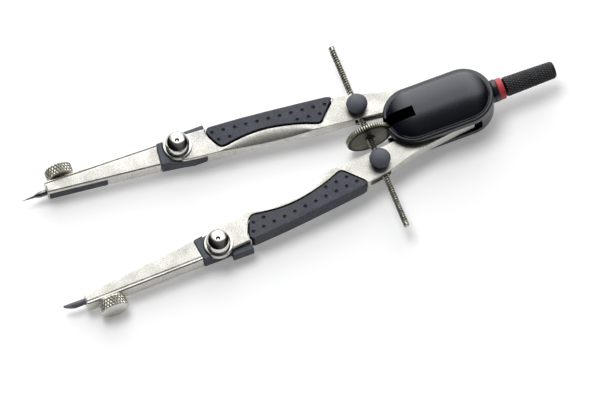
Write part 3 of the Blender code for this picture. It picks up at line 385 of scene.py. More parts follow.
def material(name, colour, roughness, metallic=0.0):
    mat = bpy.data.materials.new(name)
    mat.use_nodes = True
    shader = mat.node_tree.nodes["Principled BSDF"]
    shader.inputs["Base Color"].default_value = (*colour, 1)
    shader.inputs["Roughness"].default_value = roughness
    shader.inputs["Metallic"].default_value = metallic
    return mat, mat.node_tree, shader


def noise(tree, scale, detail, rough, stretch=None):
    """Noise in object space, so that it moves with the piece."""
    where = tree.nodes.new("ShaderNodeTexCoord")
    source = where.outputs["Object"]
    if stretch:
        mapping = tree.nodes.new("ShaderNodeMapping")
        mapping.inputs["Scale"].default_value = stretch
        tree.links.new(source, mapping.inputs["Vector"])
        source = mapping.outputs["Vector"]
    node = tree.nodes.new("ShaderNodeTexNoise")
    node.inputs["Scale"].default_value = scale
    node.inputs["Detail"].default_value = detail
    node.inputs["Roughness"].default_value = rough
    tree.links.new(source, node.inputs["Vector"])
    return node.outputs["Fac"]


def ramp(tree, fac, stops):
    node = tree.nodes.new("ShaderNodeValToRGB")
    elements = node.color_ramp.elements
    while len(elements) < len(stops):
        elements.new(0.5)
    for element, (position, colour) in zip(elements, stops):
        element.position = position
        element.color = (*colour, 1)
    tree.links.new(fac, node.inputs["Fac"])
    return node.outputs["Color"]


def grey_ramp(tree, fac, stops):
    return ramp(tree, fac, [(position, (value, value, value)) for position, value in stops])


def spread(tree, fac, low, high):
    """The middle of a noise, spread between two values."""
    node = tree.nodes.new("ShaderNodeMapRange")
    node.inputs["From Min"].default_value = 0.3
    node.inputs["From Max"].default_value = 0.7
    node.inputs["To Min"].default_value = low
    node.inputs["To Max"].default_value = high
    tree.links.new(fac, node.inputs["Value"])
    return node.outputs["Result"]


def bump(tree, shader, fac, strength, distance):
    node = tree.nodes.new("ShaderNodeBump")
    node.inputs["Strength"].default_value = strength
    node.inputs["Distance"].default_value = distance
    tree.links.new(fac, node.inputs["Height"])
    tree.links.new(node.outputs["Normal"], shader.inputs["Normal"])


def product(tree, first, second):
    node = tree.nodes.new("ShaderNodeMix")
    node.data_type = "RGBA"
    node.blend_type = "MULTIPLY"
    node.inputs[0].default_value = 1.0
    tree.links.new(first, node.inputs[6])
    tree.links.new(second, node.inputs[7])
    return node.outputs[2]


def scaled(tree, value, factor, offset=0.0):
    node = tree.nodes.new("ShaderNodeMath")
    node.operation = "MULTIPLY_ADD"
    node.inputs[1].default_value = factor
    node.inputs[2].default_value = offset
    tree.links.new(value, node.inputs[0])
    return node.outputs[0]


def specks_and_relief_shading(tree, colour, speck, relief_shade_and_highlight):
    """Tint a colour by fine specks, and by the relief that the mesh carries: painted shade in the grooves,
    painted highlight on the ridges.
    """
    if speck:
        scale, low = speck
        fine = noise(tree, scale, detail=2.0, rough=0.8)
        colour = product(tree, colour, grey_ramp(tree, fine, ((0.40, low), (0.56, 1.0))))
    if relief_shade_and_highlight:
        groove, ridge = relief_shade_and_highlight
        mark = tree.nodes.new("ShaderNodeAttribute")
        mark.attribute_name = "relief"
        shades = grey_ramp(tree, mark.outputs["Fac"], ((0.15, groove), (0.85, ridge)))
        colour = product(tree, colour, shades)
    return colour


def metal(name, colour, dull, roughness, grain, depth, stretch=None, speck=None, relief_shade_and_highlight=None, metallic=1.0):
    """Plated metal: fine grain, smudges in the roughness, a little tarnish, and where given painted shade
    and highlight by the relief.
    """
    mat, tree, shader = material(name, colour, roughness, metallic)
    cloud = noise(tree, 140.0, detail=3.0, rough=0.55)
    fine = noise(tree, grain, detail=3.0, rough=0.7, stretch=stretch)
    tint = specks_and_relief_shading(tree, ramp(tree, cloud, ((0.35, dull), (0.62, colour))), speck, relief_shade_and_highlight)
    tree.links.new(tint, shader.inputs["Base Color"])
    smudges = spread(tree, cloud, roughness * 1.25, roughness * 0.85)
    tree.links.new(smudges, shader.inputs["Roughness"])
    bump(tree, shader, fine, strength=0.35, distance=depth)
    return mat


def plastic(name, colour, other, roughness, grain, depth, coat=0.0, gloss=0.5, speck=None, relief_shade_and_highlight=None):
    """Moulded plastic or rubber: mottled tint, a fine moulded grain, and where given painted shade and
    highlight by the relief.
    """
    mat, tree, shader = material(name, colour, roughness)
    cloud = noise(tree, 220.0, detail=4.0, rough=0.6)
    fine = noise(tree, grain, detail=4.0, rough=0.7)
    tint = specks_and_relief_shading(tree, ramp(tree, cloud, ((0.3, other), (0.66, colour))), speck, relief_shade_and_highlight)
    tree.links.new(tint, shader.inputs["Base Color"])
    tree.links.new(spread(tree, fine, roughness * 0.85, roughness * 1.2), shader.inputs["Roughness"])
    shader.inputs["Coat Weight"].default_value = coat
    shader.inputs["Specular IOR Level"].default_value = gloss
    bump(tree, shader, fine, strength=0.4, distance=depth)
    return mat


NICKEL = metal(
    "satin_nickel", (0.95, 0.935, 0.875), (0.84, 0.825, 0.765), roughness=0.42, grain=2800.0,
    depth=0.012 * MM, speck=(2700.0, 0.72))
CHROME = metal(
    "polished_chrome", (0.80, 0.79, 0.74), (0.68, 0.66, 0.60), roughness=0.06, grain=1800.0,
    depth=0.001 * MM)
# Clamp discs: painted shade in the knurl's grooves, painted highlight on its crests.
KNURLED = metal(
    "knurled_chrome", (0.90, 0.88, 0.78), (0.66, 0.63, 0.52), roughness=0.22, grain=3000.0,
    depth=0.004 * MM, relief_shade_and_highlight=(0.42, 1.28), metallic=0.75)
# Wheel: painted shade in the notches, painted highlight on the teeth, and one steady tint on the face.
WHEEL_STEEL = metal(
    "wheel_steel", (0.315, 0.31, 0.25), (0.22, 0.215, 0.17), roughness=0.36, grain=4000.0,
    depth=0.006 * MM, speck=(2600.0, 0.6), relief_shade_and_highlight=(0.15, 3.0))
# Spindle: painted shade in the thread's grooves, painted highlight on its crests.
THREAD_STEEL = metal(
    "thread_steel", (0.90, 0.88, 0.77), (0.62, 0.60, 0.50), roughness=0.2, grain=3500.0,
    depth=0.004 * MM, speck=(1500.0, 0.28), relief_shade_and_highlight=(0.06, 1.8), metallic=0.82)
POINT_STEEL = metal(
    "point_steel", (0.46, 0.455, 0.44), (0.28, 0.275, 0.26), roughness=0.3, grain=2600.0,
    depth=0.006 * MM, stretch=(0.3, 1, 1), speck=(2300.0, 0.25))
PIVOT_STEEL = metal(
    "pivot_steel", (0.30, 0.29, 0.25), (0.18, 0.175, 0.14), roughness=0.3, grain=3600.0,
    depth=0.005 * MM)
BLACK = plastic(
    "head_plastic", (0.0045, 0.0050, 0.0090), (0.0035, 0.0040, 0.0070), roughness=0.24, grain=3600.0,
    depth=0.012 * MM, coat=0.25, gloss=0.7)
BLACK.node_tree.nodes["Principled BSDF"].inputs["Specular Tint"].default_value = (0.88, 0.90, 1.0, 1)
# Near-black, matte and barely mirroring: painted shade for the faces inside the head's slot and leg room.
INSIDE_SHADE = plastic(
    "head_inside_painted_shade", (0.0020, 0.0020, 0.0025), (0.0012, 0.0012, 0.0015), roughness=0.9, grain=3600.0,
    depth=0.01 * MM, gloss=0.02)
COLLAR = plastic(
    "collar_plastic", (0.012, 0.013, 0.018), (0.008, 0.009, 0.013), roughness=0.3, grain=3000.0,
    depth=0.01 * MM, coat=0.3)
SLATE = plastic(
    "slate_plastic", (0.120, 0.129, 0.154), (0.085, 0.092, 0.114), roughness=0.55, grain=3800.0,
    depth=0.03 * MM)
BLOCK_PLASTIC = plastic(
    "block_plastic", (0.138, 0.148, 0.172), (0.098, 0.106, 0.126), roughness=0.5, grain=3200.0,
    depth=0.02 * MM, gloss=0.08)
# Grips: painted shade in the pits and along the seams against the leg.
RUBBER = plastic(
    "grip_rubber", (0.092, 0.099, 0.122), (0.066, 0.072, 0.089), roughness=0.6, grain=3000.0,
    depth=0.035 * MM, speck=(2400.0, 0.6), relief_shade_and_highlight=(0.14, 1.0))
RED = plastic(
    "ring_red", (0.54, 0.060, 0.075), (0.42, 0.045, 0.056), roughness=0.4, grain=2600.0,
    depth=0.015 * MM)
# Handle: painted shade in the diamond grooves, painted highlight on the crests.
CHARCOAL = plastic(
    "handle_charcoal", (0.060, 0.061, 0.066), (0.036, 0.037, 0.040), roughness=0.4, grain=2600.0,
    depth=0.02 * MM, coat=0.1, gloss=0.35, speck=(2300.0, 0.22), relief_shade_and_highlight=(0.03, 2.6))
GRAPHITE = plastic(
    "graphite", (0.150, 0.150, 0.172), (0.090, 0.090, 0.108), roughness=0.42, grain=4200.0,
    depth=0.02 * MM, speck=(2600.0, 0.55))


# Head

def stadium_ring(radius, height, steps=40):
    points = []
    for centre, start in ((HEAD_HALF_SPAN, -90), (-HEAD_HALF_SPAN, 90)):
        for i in range(steps + 1):
            swing = math.radians(start + 180 * i / steps)
            points.append(Vector((centre + radius * math.cos(swing), radius * math.sin(swing), height)))
    return points


def head_profile():
    """Skirt with a rounded rim, a narrow ledge, and a full dome up to the flat land."""
    skirt = [(HEAD_RADIUS, -FIT), (HEAD_RADIUS, SKIRT_HEIGHT), (DOME_RADIUS, SKIRT_HEIGHT)]
    profile = round_profile(skirt, SKIRT_ROUND)
    for i in range(1, DOME_STEPS + 1):
        swing = math.radians(90) * i / DOME_STEPS
        profile.append((
            LAND_RADIUS + (DOME_RADIUS - LAND_RADIUS) * math.cos(swing) ** DOME_POWER,
            SKIRT_HEIGHT + (HEAD_HEIGHT - SKIRT_HEIGHT) * math.sin(swing) ** DOME_POWER,
        ))
    return profile


def head_cover(node, up):
    """A cover with half the neck, cut at the parting, for the legs and for the wheel."""
    rings = [stadium_ring(radius, MID_Z + up * height) for radius, height in head_profile()]
    cover = new_piece(node + "_fine", skin(node, rings))
    reach = 3 * HEAD_RADIUS
    neck_length = NECK_END_X - HEAD_HALF_SPAN
    neck_mesh = lathe("neck", [
        (0, 0), (NECK_RADIUS, 0), (NECK_RADIUS, neck_length - FIT), (NECK_RADIUS - FIT, neck_length),
        (0, neck_length),
    ], (HEAD_HALF_SPAN, 0, MID_Z), "+X")
    low, high = sorted((MID_Z + up * FIT / 2, MID_Z - up * reach))
    room_low, room_high = sorted((MID_Z - up * reach, MID_Z + up * LEG_ROOM))
    carve(cover, node, [
        (new_piece("tool", neck_mesh), "UNION"),
        (block((-reach, -reach, low), (reach, reach, high)), "DIFFERENCE"),
        (block((-reach, -reach, room_low), (ROOM_REAR_X, reach, room_high)), "DIFFERENCE"),
        (block((-reach, -SLOT_WIDTH / 2, -reach), (SLOT_END_X, SLOT_WIDTH / 2, reach)), "DIFFERENCE"),
    ])
    weld(cover.data)
    shade(cover.data)
    place(cover, node, "head", BLACK)
    # The slot's walls and the leg room's roof take the painted-shade material.
    cover.data.materials.append(INSIDE_SHADE)
    for face in cover.data.polygons:
        spot, tilt = face.center, abs(face.normal.z)
        slot_wall = spot.x < SLOT_END_X + NEAR and abs(spot.y) < SLOT_WIDTH / 2 + NEAR and tilt < 0.1
        room_roof = abs(abs(spot.z - MID_Z) - LEG_ROOM) < NEAR and tilt > 0.9
        if slot_wall or room_roof:
            face.material_index = 1


def neck_rings():
    for node, radius, slot, mat in (
        ("neck_collar", COLLAR_RADIUS, "black_plastic", COLLAR),
        ("colour_ring", COLOUR_RING_RADIUS, "red_plastic", RED),
    ):
        low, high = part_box(node)
        length = high.x - low.x
        profile = [(RING_BORE, 0), (radius, 0), (radius, length), (RING_BORE, length)]
        mesh = lathe(node, round_profile(profile, RING_ROUND), (low.x, 0, MID_Z), "+X")
        place(new_piece(node + "_fine", mesh), node, "head", mat)


# Handle

def handle_radius(x):
    return HANDLE_ROOT + (HANDLE_END - HANDLE_ROOT) * x / HANDLE_LENGTH


def handle():
    """The rod with a pressed diamond pattern and rounded ends."""
    centre = (HANDLE_START_X, 0, MID_Z)
    rings = [[Vector(centre)]]
    for row in range(HANDLE_ROWS + 1):
        x = HANDLE_LENGTH * row / HANDLE_ROWS
        to_end = min(x, HANDLE_LENGTH - x)
        drop = HANDLE_ROUND - math.sqrt(max(HANDLE_ROUND ** 2 - max(HANDLE_ROUND - to_end, 0) ** 2, 0))
        fade = min(max((to_end - DIAMOND_MARGIN) / DIAMOND_FADE, 0), 1)
        root = handle_radius(x) - drop - DIAMOND_DEPTH
        turn = x / DIAMOND_LENGTH / 2
        ring = []
        for step in range(HANDLE_STEPS):
            share = step / HANDLE_STEPS
            here = share * DIAMONDS_ROUND
            relief = min(tri(here + turn), tri(here - turn)) * DIAMOND_DEPTH * fade
            ring.append(along("+X", centre, root + relief, math.tau * share, x))
        rings.append(ring)
    rings.append([Vector((HANDLE_START_X + HANDLE_LENGTH, 0, MID_Z))])
    mesh = skin("handle", rings, math.radians(60))

    # The diamonds' height, which the material turns into painted shade in the grooves and painted highlight
    # on the crests.
    def relief_at(co):
        root = handle_radius(co.x - HANDLE_START_X) - DIAMOND_DEPTH
        return (math.hypot(co.y, co.z - MID_Z) - root) / DIAMOND_DEPTH

    mark_relief(mesh, relief_at)
    place(new_piece("handle_fine", mesh), "handle", "head", CHARCOAL)


# Spindle and wheel

def from_spindle(co):
    return math.hypot(co.x - SPINDLE_X, co.z - MID_Z)


def thread_mesh():
    """One continuous thread, cut square and closed at both ends."""
    rows_per_turn = len(THREAD_SHARES)
    turns = int(2 * SPINDLE_HALF / THREAD_PITCH)
    start = -turns * THREAD_PITCH / 2
    bm = bmesh.new()
    rows = []
    for row in range(turns * rows_per_turn + 1):
        radius = SPINDLE_RADIUS - THREAD_DEPTH * (1 - THREAD_SHARES[row % rows_per_turn])
        ring = []
        for step in range(THREAD_STEPS):
            share = step / THREAD_STEPS
            y = start + THREAD_PITCH * (row / rows_per_turn + share)
            ring.append(bm.verts.new(along("+Y", (SPINDLE_X, 0, MID_Z), radius, math.tau * share, y)))
        rows.append(ring)
    for near, far in zip(rows, rows[1:]):
        for step in range(THREAD_STEPS - 1):
            bm.faces.new((near[step], near[step + 1], far[step + 1], far[step]))
    for row in range(len(rows) - rows_per_turn - 1):
        near, far = rows[row:row + 2]
        next_near, next_far = rows[row + rows_per_turn:row + rows_per_turn + 2]
        bm.faces.new((near[-1], next_near[0], next_far[0], far[-1]))
    end = SPINDLE_HALF - TIP_LENGTH + TIP_LAP
    for sign in (-1, 1):
        geometry = bm.verts[:] + bm.edges[:] + bm.faces[:]
        bmesh.ops.bisect_plane(
            bm, geom=geometry, plane_co=(0, sign * end, 0), plane_no=(0, sign, 0), clear_outer=True)
    bmesh.ops.remove_doubles(bm, verts=bm.verts, dist=NEAR)
    bmesh.ops.holes_fill(bm, edges=[edge for edge in bm.edges if edge.is_boundary])
    mesh = finish_mesh(bm, "spindle_thread", math.radians(50))
    # The thread's height, which the material turns into painted shade in the grooves and painted highlight
    # on the crests.
    root = SPINDLE_RADIUS - THREAD_DEPTH
    mark_relief(mesh, lambda co: (from_spindle(co) - root) / THREAD_DEPTH)
    return mesh


def spindle():
    """The threaded rod and its two plain tips."""
    rod = new_piece("spindle_thread", thread_mesh())
    place(rod, "threaded_spindle", "spindle", THREAD_STEEL)
    core = SPINDLE_RADIUS - FIT
    profile = [
        (0, 0), (core, 0), (core, TIP_LENGTH - TIP_CHAMFER), (core - TIP_CHAMFER, TIP_LENGTH),
        (0, TIP_LENGTH),
    ]
    for name, side in SIDES.items():
        centre = (SPINDLE_X, side * (SPINDLE_HALF - TIP_LENGTH), MID_Z)
        mesh = lathe("spindle_end", profile, centre, "+Y" if side > 0 else "-Y", 32)
        mark_relief(mesh, lambda co: 0.5)
        wear(new_piece("spindle_end_" + name, mesh), "spindle", THREAD_STEEL)


def rim_disc(name, centre, axis, radius, half, bore, chamfer, relief, rows, steps, hub=()):
    """A disc with a worked rim: relief gives the depth of the pattern at (share round, share across)."""
    front = [(bore, half), (radius - chamfer, half)]
    if hub:
        hub_radius, hub_half = hub
        band = radius - RIM_BAND
        front[:1] = [
            (bore, hub_half),
            (hub_radius - FIT, hub_half),
            (hub_radius, hub_half - FIT),
            (hub_radius, half - FACE_SINK),
            (band - FACE_SLOPE, half - FACE_SINK),
            (band, half),
        ]
    rings = [circle(axis, centre, r, h, steps) for r, h in front]
    for row in range(rows + 1):
        across = row / rows
        h = (half - chamfer) * (1 - 2 * across)
        rings.append([
            along(axis, centre, radius - relief(i / steps, across), math.tau * i / steps, h)
            for i in range(steps)
        ])
    rings += [circle(axis, centre, r, -h, steps) for r, h in reversed(front)]
    bm = bmesh.new()
    loops = [[bm.verts.new(p) for p in ring] for ring in rings]
    for near, far in zip(loops, loops[1:] + loops[:1]):
        for i in range(steps):
            j = (i + 1) % steps
            bm.faces.new((near[i], near[j], far[j], far[i]))
    return finish_mesh(bm, name, math.radians(45))


def wheel():
    def relief(share, across):
        return NOTCH_DEPTH * (1 - min(tri(share * NOTCHES) * NOTCH_SLOPE, 1))

    mesh = rim_disc(
        "wheel", (SPINDLE_X, 0, MID_Z), "+Y", WHEEL_RADIUS, WHEEL_HALF, SPINDLE_RADIUS + FIT,
        WHEEL_CHAMFER, relief, 2, NOTCHES * 6, (HUB_RADIUS, HUB_HALF))

    # The notches' depth, which the material turns into painted shade and painted highlight; the face keeps
    # one steady tint.
    def relief_at(co):
        from_notch = from_spindle(co) - WHEEL_RADIUS + NOTCH_DEPTH
        return FACE_RELIEF if from_notch < NOTCH_DEPTH - FACE_START else from_notch / NOTCH_DEPTH

    mark_relief(mesh, relief_at)
    place(new_piece("adjusting_wheel_fine", mesh), "adjusting_wheel", "wheel", WHEEL_STEEL)


# Clamp screws at the points

def clamp_screw(name, side):
    """A knurled disc on a polished stem."""
    body = f"clamp_screw_{name}"
    axis = "+Y" if side > 0 else "-Y"
    low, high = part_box(body)
    radius = (high.z - low.z) / 2
    inner, outer = (low.y, high.y) if side > 0 else (-high.y, -low.y)
    x = (low.x + high.x) / 2
    back = outer - 2 * CLAMP_HALF

    def relief(share, across):
        here, turn = share * CLAMP_STARTS, across * CLAMP_CELLS / 2
        return CLAMP_DEPTH * (1 - min(tri(here + turn), tri(here - turn)))

    mesh = rim_disc(
        "clamp_disc", (x, side * (outer - CLAMP_HALF), MID_Z), axis, radius, CLAMP_HALF, CLAMP_BORE,
        CLAMP_CHAMFER, relief, CLAMP_ROWS, CLAMP_STARTS * 8)

    # The knurl's depth, which the material turns into painted shade and painted highlight; the flat faces
    # count as crests.
    def relief_at(co):
        reach = math.hypot(co.x - x, co.z - MID_Z)
        return 1 if reach < radius - CLAMP_CHAMFER + NEAR else (reach - radius + CLAMP_DEPTH) / CLAMP_DEPTH

    mark_relief(mesh, relief_at)
    place(new_piece(f"clamp_disc_{name}", mesh), body, body, KNURLED)
    stem = lathe("clamp_shank", [
        (0, inner), (STEM_RADIUS, inner), (STEM_RADIUS, back - STEM_FLARE), (STEM_COLLAR, back - STEM_STEP),
        (STEM_COLLAR, outer - CLAMP_HALF), (STEM_CORE, outer - CLAMP_HALF), (STEM_CORE, outer - STEM_SINK),
        (0, outer - STEM_SINK),
    ], (x, 0, MID_Z), axis, 40)
    wear(new_piece(f"clamp_stem_{name}", stem), body, CHROME)


# Caps on the nuts

def nut_cap(node, body, axis):
    """A full dome on a plain neck."""
    low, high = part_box(node)
    radius, height = (high.x - low.x) / 2, high.z - low.z
    profile = [
        (0, 0), (CAP_NECK_RADIUS, 0), (CAP_NECK_RADIUS, CAP_NECK_HEIGHT - CAP_UNDERCUT),
        (radius - FIT, CAP_NECK_HEIGHT - FIT / 2),
    ]
    for i in range(1, CAP_STEPS + 1):
        swing = math.radians(90) * i / CAP_STEPS
        profile.append((
            radius * math.cos(swing) ** CAP_POWER if i < CAP_STEPS else 0,
            CAP_NECK_HEIGHT + (height - CAP_NECK_HEIGHT) * math.sin(swing),
        ))
    centre = ((low.x + high.x) / 2, (low.y + high.y) / 2, low.z if axis == "+Z" else high.z)
    mesh = lathe(node, profile, centre, axis, 56)
    place(new_piece(node + "_fine", mesh), node, body, SLATE)


# Knees

def knob_profile(rim, foot):
    """A dimple, the land round it, the crown and the rounder underside, down to the shank's foot."""
    bottom = rim - DIMPLE_DEPTH
    profile = [(0, bottom)]
    for i in range(1, DIMPLE_STEPS + 1):
        swing = math.radians(90) * i / DIMPLE_STEPS
        profile.append((DIMPLE_RADIUS * math.sin(swing), bottom + DIMPLE_RISE * (1 - math.cos(swing))))
    start = math.asin(KNOB_LAND / KNOB_RADIUS)
    stop = math.pi - math.asin(KNOB_FOOT / KNOB_RADIUS)
    middle = rim - KNOB_HALF_HEIGHT * math.sqrt(1 - math.sin(start) ** KNOB_CROWN)
    for i in range(KNOB_STEPS + 1):
        swing = start + (stop - start) * i / KNOB_STEPS
        reach, lift = math.sin(swing), math.cos(swing)
        if lift > 0:
            lift = math.sqrt(1 - reach ** KNOB_CROWN)
        profile.append((KNOB_RADIUS * reach, middle + KNOB_HALF_HEIGHT * lift))
    return profile + [
        (KNOB_UNDERSIDE, KNOB_SEAT_Z), (KNOB_SHANK, KNOB_SEAT_Z), (KNOB_SHANK, foot), (0, foot)]


def knee(name):
    node = f"knee_washer_{name}"
    low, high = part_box(node)
    x, y = (low.x + high.x) / 2, (low.y + high.y) / 2
    radius, thick = (high.x - low.x) / 2, high.z - low.z
    profile = [(WASHER_BORE, 0), (radius, 0), (radius, thick), (WASHER_BORE, thick)]
    mesh = lathe("knee_washer", round_profile(profile, WASHER_ROUND), (x, y, low.z), "+Z", 72)
    place(new_piece(node + "_fine", mesh), node, f"leg_{name}", CHROME)
    node = f"knee_knob_{name}"
    low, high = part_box(node)
    mesh = lathe("knee_knob", knob_profile(high.z, low.z), (x, y, 0), "+Z", 80)
    place(new_piece(node + "_fine", mesh), node, node, CHROME)


# Legs, blocks and jaws keep their solids' forms, with rounded edges

def solid_copy(node, split=None):
    """A copy of a CAD node as large flat faces; split is a level to part them at."""
    bm = bmesh.new()
    bm.from_mesh(frame["nodes"][node].data)
    bmesh.ops.remove_doubles(bm, verts=bm.verts, dist=SAME)
    bmesh.ops.dissolve_limit(bm, angle_limit=FLAT, verts=bm.verts, edges=bm.edges)
    if split:
        geometry = bm.verts[:] + bm.edges[:] + bm.faces[:]
        bmesh.ops.bisect_plane(bm, geom=geometry, dist=SAME, plane_co=(0, 0, split), plane_no=(0, 0, 1))
    return new_piece(node + "_fine", finish_mesh(bm, node + "_fine"))


def round_edges(obj):
    bevel = obj.modifiers.new("edges", "BEVEL")
    bevel.width = EDGE_ROUND
    bevel.segments = EDGE_SEGMENTS
    bevel.limit_method = "ANGLE"
    bevel.angle_limit = EDGE
    bevel.use_clamp_overlap = False
    apply_modifiers(obj, obj.name)


def even(obj):
    """Flat faces shade flat, and only the rounded edges turn."""
    shade(obj.data, EDGE)
    weights = obj.modifiers.new("weights", "WEIGHTED_NORMAL")
    weights.keep_sharp = True
    apply_modifiers(obj, obj.data.name)


def refined(node, body, mat, split=None):
    obj = solid_copy(node, split)
    round_edges(obj)
    even(obj)
    place(obj, node, body, mat)


# Grips

def draw_back(mesh, walls):
    """Moves what stands against the leg's walls away from them, level, and eases it out inwards."""
    for vertex in mesh.vertices:
        away = vertex.co - walls.find_nearest(vertex.co)[0]
        level = Vector((away.x, away.y, 0))
        if abs(away.z) < DRAW_LEVEL and FIT / 2 < level.length < DRAW_EASE:
            share = 1 - max(level.length - FIT, 0) / (DRAW_EASE - FIT)
            vertex.co += level.normalized() * DRAW_BACK * share


def pit_places(mesh, side, top):
    """Staggered rows of places that lie well inside the grip's face."""
    bm = bmesh.new()
    bm.from_mesh(mesh)
    tree = BVHTree.FromBMesh(bm)
    bm.free()
    inward = Vector((PIT_RUN.y, -PIT_RUN.x))

    def on_face(x, y):
        hit = tree.ray_cast(Vector((x, y, top + MM)), Vector((0, 0, -1)))[0]
        return hit is not None and hit.z >= top - FACE_DROP

    places = []
    for row in range(PIT_ROWS):
        for step in range(PITS_IN_ROW):
            spot = PIT_START + PIT_RUN * PIT_PITCH * (step + PIT_STAGGER * (row % 2))
            spot += inward * PIT_ROW_GAP * row
            x, y = spot.x, side * spot.y
            swings = [math.tau * k / PIT_PROBES for k in range(PIT_PROBES)]
            if all(on_face(x + PIT_MARGIN * math.cos(s), y + PIT_MARGIN * math.sin(s)) for s in swings):
                places.append((x, y))
    return places


def ball_mesh(centres, radius):
    bm = bmesh.new()
    for centre in centres:
        bmesh.ops.create_uvsphere(
            bm, u_segments=14, v_segments=10, radius=radius, matrix=Matrix.Translation(centre))
    return plain_mesh(bm, "pits")


def grip(name, side):
    """The rubber grip with staggered rows of small pits on both faces, with painted shade in the pits and
    along its seams.
    """
    node = f"grip_{name}"
    obj = solid_copy(node)
    leg = frame["nodes"][f"upper_leg_{name}"].data
    walls = BVHTree.FromPolygons([v.co for v in leg.vertices], [p.vertices for p in leg.polygons])
    draw_back(obj.data, walls)
    low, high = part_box(node)
    places = pit_places(obj.data, side, high.z)
    for up, level in ((1, high.z), (-1, low.z)):
        centres = [Vector((x, y, level + up * (PIT_RADIUS - PIT_SINK))) for x, y in places]
        tool = new_piece("tool", ball_mesh(centres, PIT_RADIUS))
        carve(obj, node + "_fine", [(tool, "DIFFERENCE")])
    even(obj)

    # Painted shade: dark along the seam against the leg's walls, and darker with depth in the pits.
    def relief_at(co):
        depth = min(high.z - co.z, co.z - low.z)
        if depth < 2 * NEAR:
            return 1
        if walls.find_nearest(co)[3] < SEAM_SHADE_REACH:
            return 0
        nearest = min(math.hypot(co.x - x, co.y - y) for x, y in places)
        return 1 if nearest > PIT_RIM else 1 - depth / PIT_SHADE

    mark_relief(obj.data, relief_at)
    place(obj, node, f"leg_{name}", RUBBER)


def recolour(nodes, mat):
    """CAD nodes that keep their own meshes and take a new material."""
    for node in nodes:
        obj = frame["nodes"][node]
        if not obj.data.materials:
            obj.data.materials.append(mat)
        for slot in obj.material_slots:
            slot.material = mat


def compass():
    head_cover("head_front_cover", 1)
    head_cover("head_back_cover", -1)
    neck_rings()
    handle()
    spindle()
    wheel()
    for name, side in SIDES.items():
        clamp_screw(name, side)
    for name in SIDES:
        for label, axis in (("front", "+Z"), ("back", "-Z")):
            nut_cap(f"trunnion_cap_{label}_{name}", f"trunnion_{name}", axis)
    for name in SIDES:
        knee(name)
    for name, side in SIDES.items():
        lower = f"lower_leg_{name}"
        refined(f"upper_leg_{name}", f"leg_{name}", NICKEL)
        refined(lower, lower, NICKEL, split=JAW_ROOM_TOP)
        refined(f"knee_block_{name}", lower, BLOCK_PLASTIC)
        refined(f"clamp_jaw_{name}", lower, BLOCK_PLASTIC)
        grip(name, side)
    pairs = [f"{kind}_{name}" for kind in ("leg_pivot_pin", "trunnion_nut", "knee_nut") for name in SIDES]
    recolour(pairs + ["handle_stud"], PIVOT_STEEL)
    recolour(["needle"], POINT_STEEL)
    recolour(["lead"], GRAPHITE)


# Floor, light and camera

def floor():
    """A pale sheet, lit up a little where the camera or a mirroring piece sees it."""
    half = FLOOR_SIZE / 2
    mesh = bpy.data.meshes.new("floor")
    corners = [(-half, -half, 0), (half, -half, 0), (half, half, 0), (-half, half, 0)]
    mesh.from_pydata(corners, [], [(0, 1, 2, 3)])
    sheet = new_piece("floor", mesh)
    sheet.rotation_euler = (0, math.atan((CLAMP_FOOT_Z - WHEEL_FOOT_Z) / CLAMP_FOOT_AWAY), 0)
    sheet.location = (SPINDLE_X, 0, WHEEL_FOOT_Z - FLOOR_GAP)
    mat, tree, shader = material("floor_pale", (0.86, 0.86, 0.87), 0.9)
    shader.inputs["Specular IOR Level"].default_value = 0.1
    rays = tree.nodes.new("ShaderNodeLightPath")
    seen = tree.nodes.new("ShaderNodeMath")
    seen.operation = "MAXIMUM"
    tree.links.new(rays.outputs["Is Camera Ray"], seen.inputs[0])
    tree.links.new(scaled(tree, rays.outputs["Is Glossy Ray"], MIRRORED_SHARE), seen.inputs[1])
    shader.inputs["Emission Color"].default_value = (1, 1, 1, 1)
    tree.links.new(scaled(tree, seen.outputs[0], FLOOR_LIFT), shader.inputs["Emission Strength"])
    mesh.materials.append(mat)


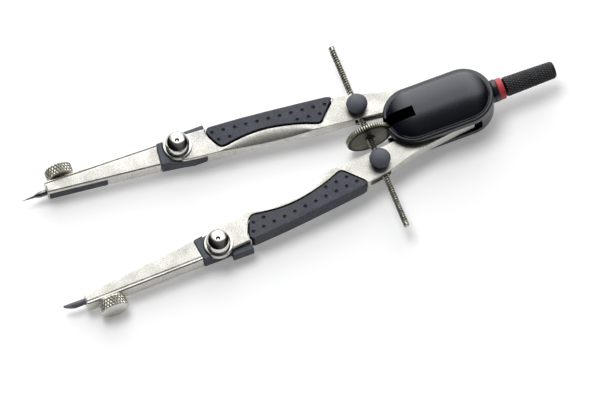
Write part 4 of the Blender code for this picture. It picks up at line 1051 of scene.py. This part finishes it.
def world():
    """A soft studio: bright behind and to the right, dim in front."""
    sky = bpy.data.worlds.new("studio")
    bpy.context.scene.world = sky
    sky.use_nodes = True
    tree = sky.node_tree
    background = tree.nodes["Background"]
    where = tree.nodes.new("ShaderNodeTexCoord")
    aim = tree.nodes.new("ShaderNodeVectorMath")
    aim.operation = "DOT_PRODUCT"
    aim.inputs[1].default_value = SKY_AIM.normalized()
    tree.links.new(where.outputs["Generated"], aim.inputs[0])
    split = tree.nodes.new("ShaderNodeSeparateXYZ")
    tree.links.new(where.outputs["Generated"], split.inputs[0])
    glow = grey_ramp(tree, aim.outputs["Value"], SKY_STOPS)
    window = grey_ramp(tree, scaled(tree, split.outputs[0], 0.5, 0.5), WINDOW_STOPS)
    tree.links.new(product(tree, glow, window), background.inputs["Color"])
    background.inputs["Strength"].default_value = SKY_STRENGTH


def key_lamp():
    """A soft lamp overhead, which polished pieces don't mirror."""
    aim = KEY_AIM.normalized()
    data = bpy.data.lights.new("key", "AREA")
    data.shape = "DISK"
    data.size = KEY_SIZE
    data.energy = KEY_POWER
    obj = bpy.data.objects.new("key", data)
    obj.location = KEY_TARGET + aim * KEY_DISTANCE
    obj.rotation_euler = aim.to_track_quat("Z", "Y").to_euler()
    obj.visible_glossy = False
    bpy.context.scene.collection.objects.link(obj)


def camera():
    right = CAMERA_RIGHT.normalized()
    back = (CAMERA_BACK - right * CAMERA_BACK.dot(right)).normalized()
    up = back.cross(right)
    aim = CAMERA_AIM + up * CAMERA_RAISE - right * CAMERA_LEFT
    cos, sin = math.cos(CAMERA_ROLL), math.sin(CAMERA_ROLL)
    turn = Matrix((right * cos - up * sin, up * cos + right * sin, back)).transposed().to_4x4()
    data = bpy.data.cameras.new("camera")
    data.lens = CAMERA_LENS
    data.sensor_width = CAMERA_SENSOR
    data.clip_end = CAMERA_CLIP
    obj = bpy.data.objects.new("camera", data)
    distance = CAMERA_WIDTH / CAMERA_SENSOR * CAMERA_LENS
    obj.matrix_world = Matrix.Translation(aim + back * distance) @ turn
    bpy.context.scene.collection.objects.link(obj)
    bpy.context.scene.camera = obj


compass()
floor()
world()
key_lamp()
camera()
bpy.context.scene.view_settings.view_transform = "Standard"
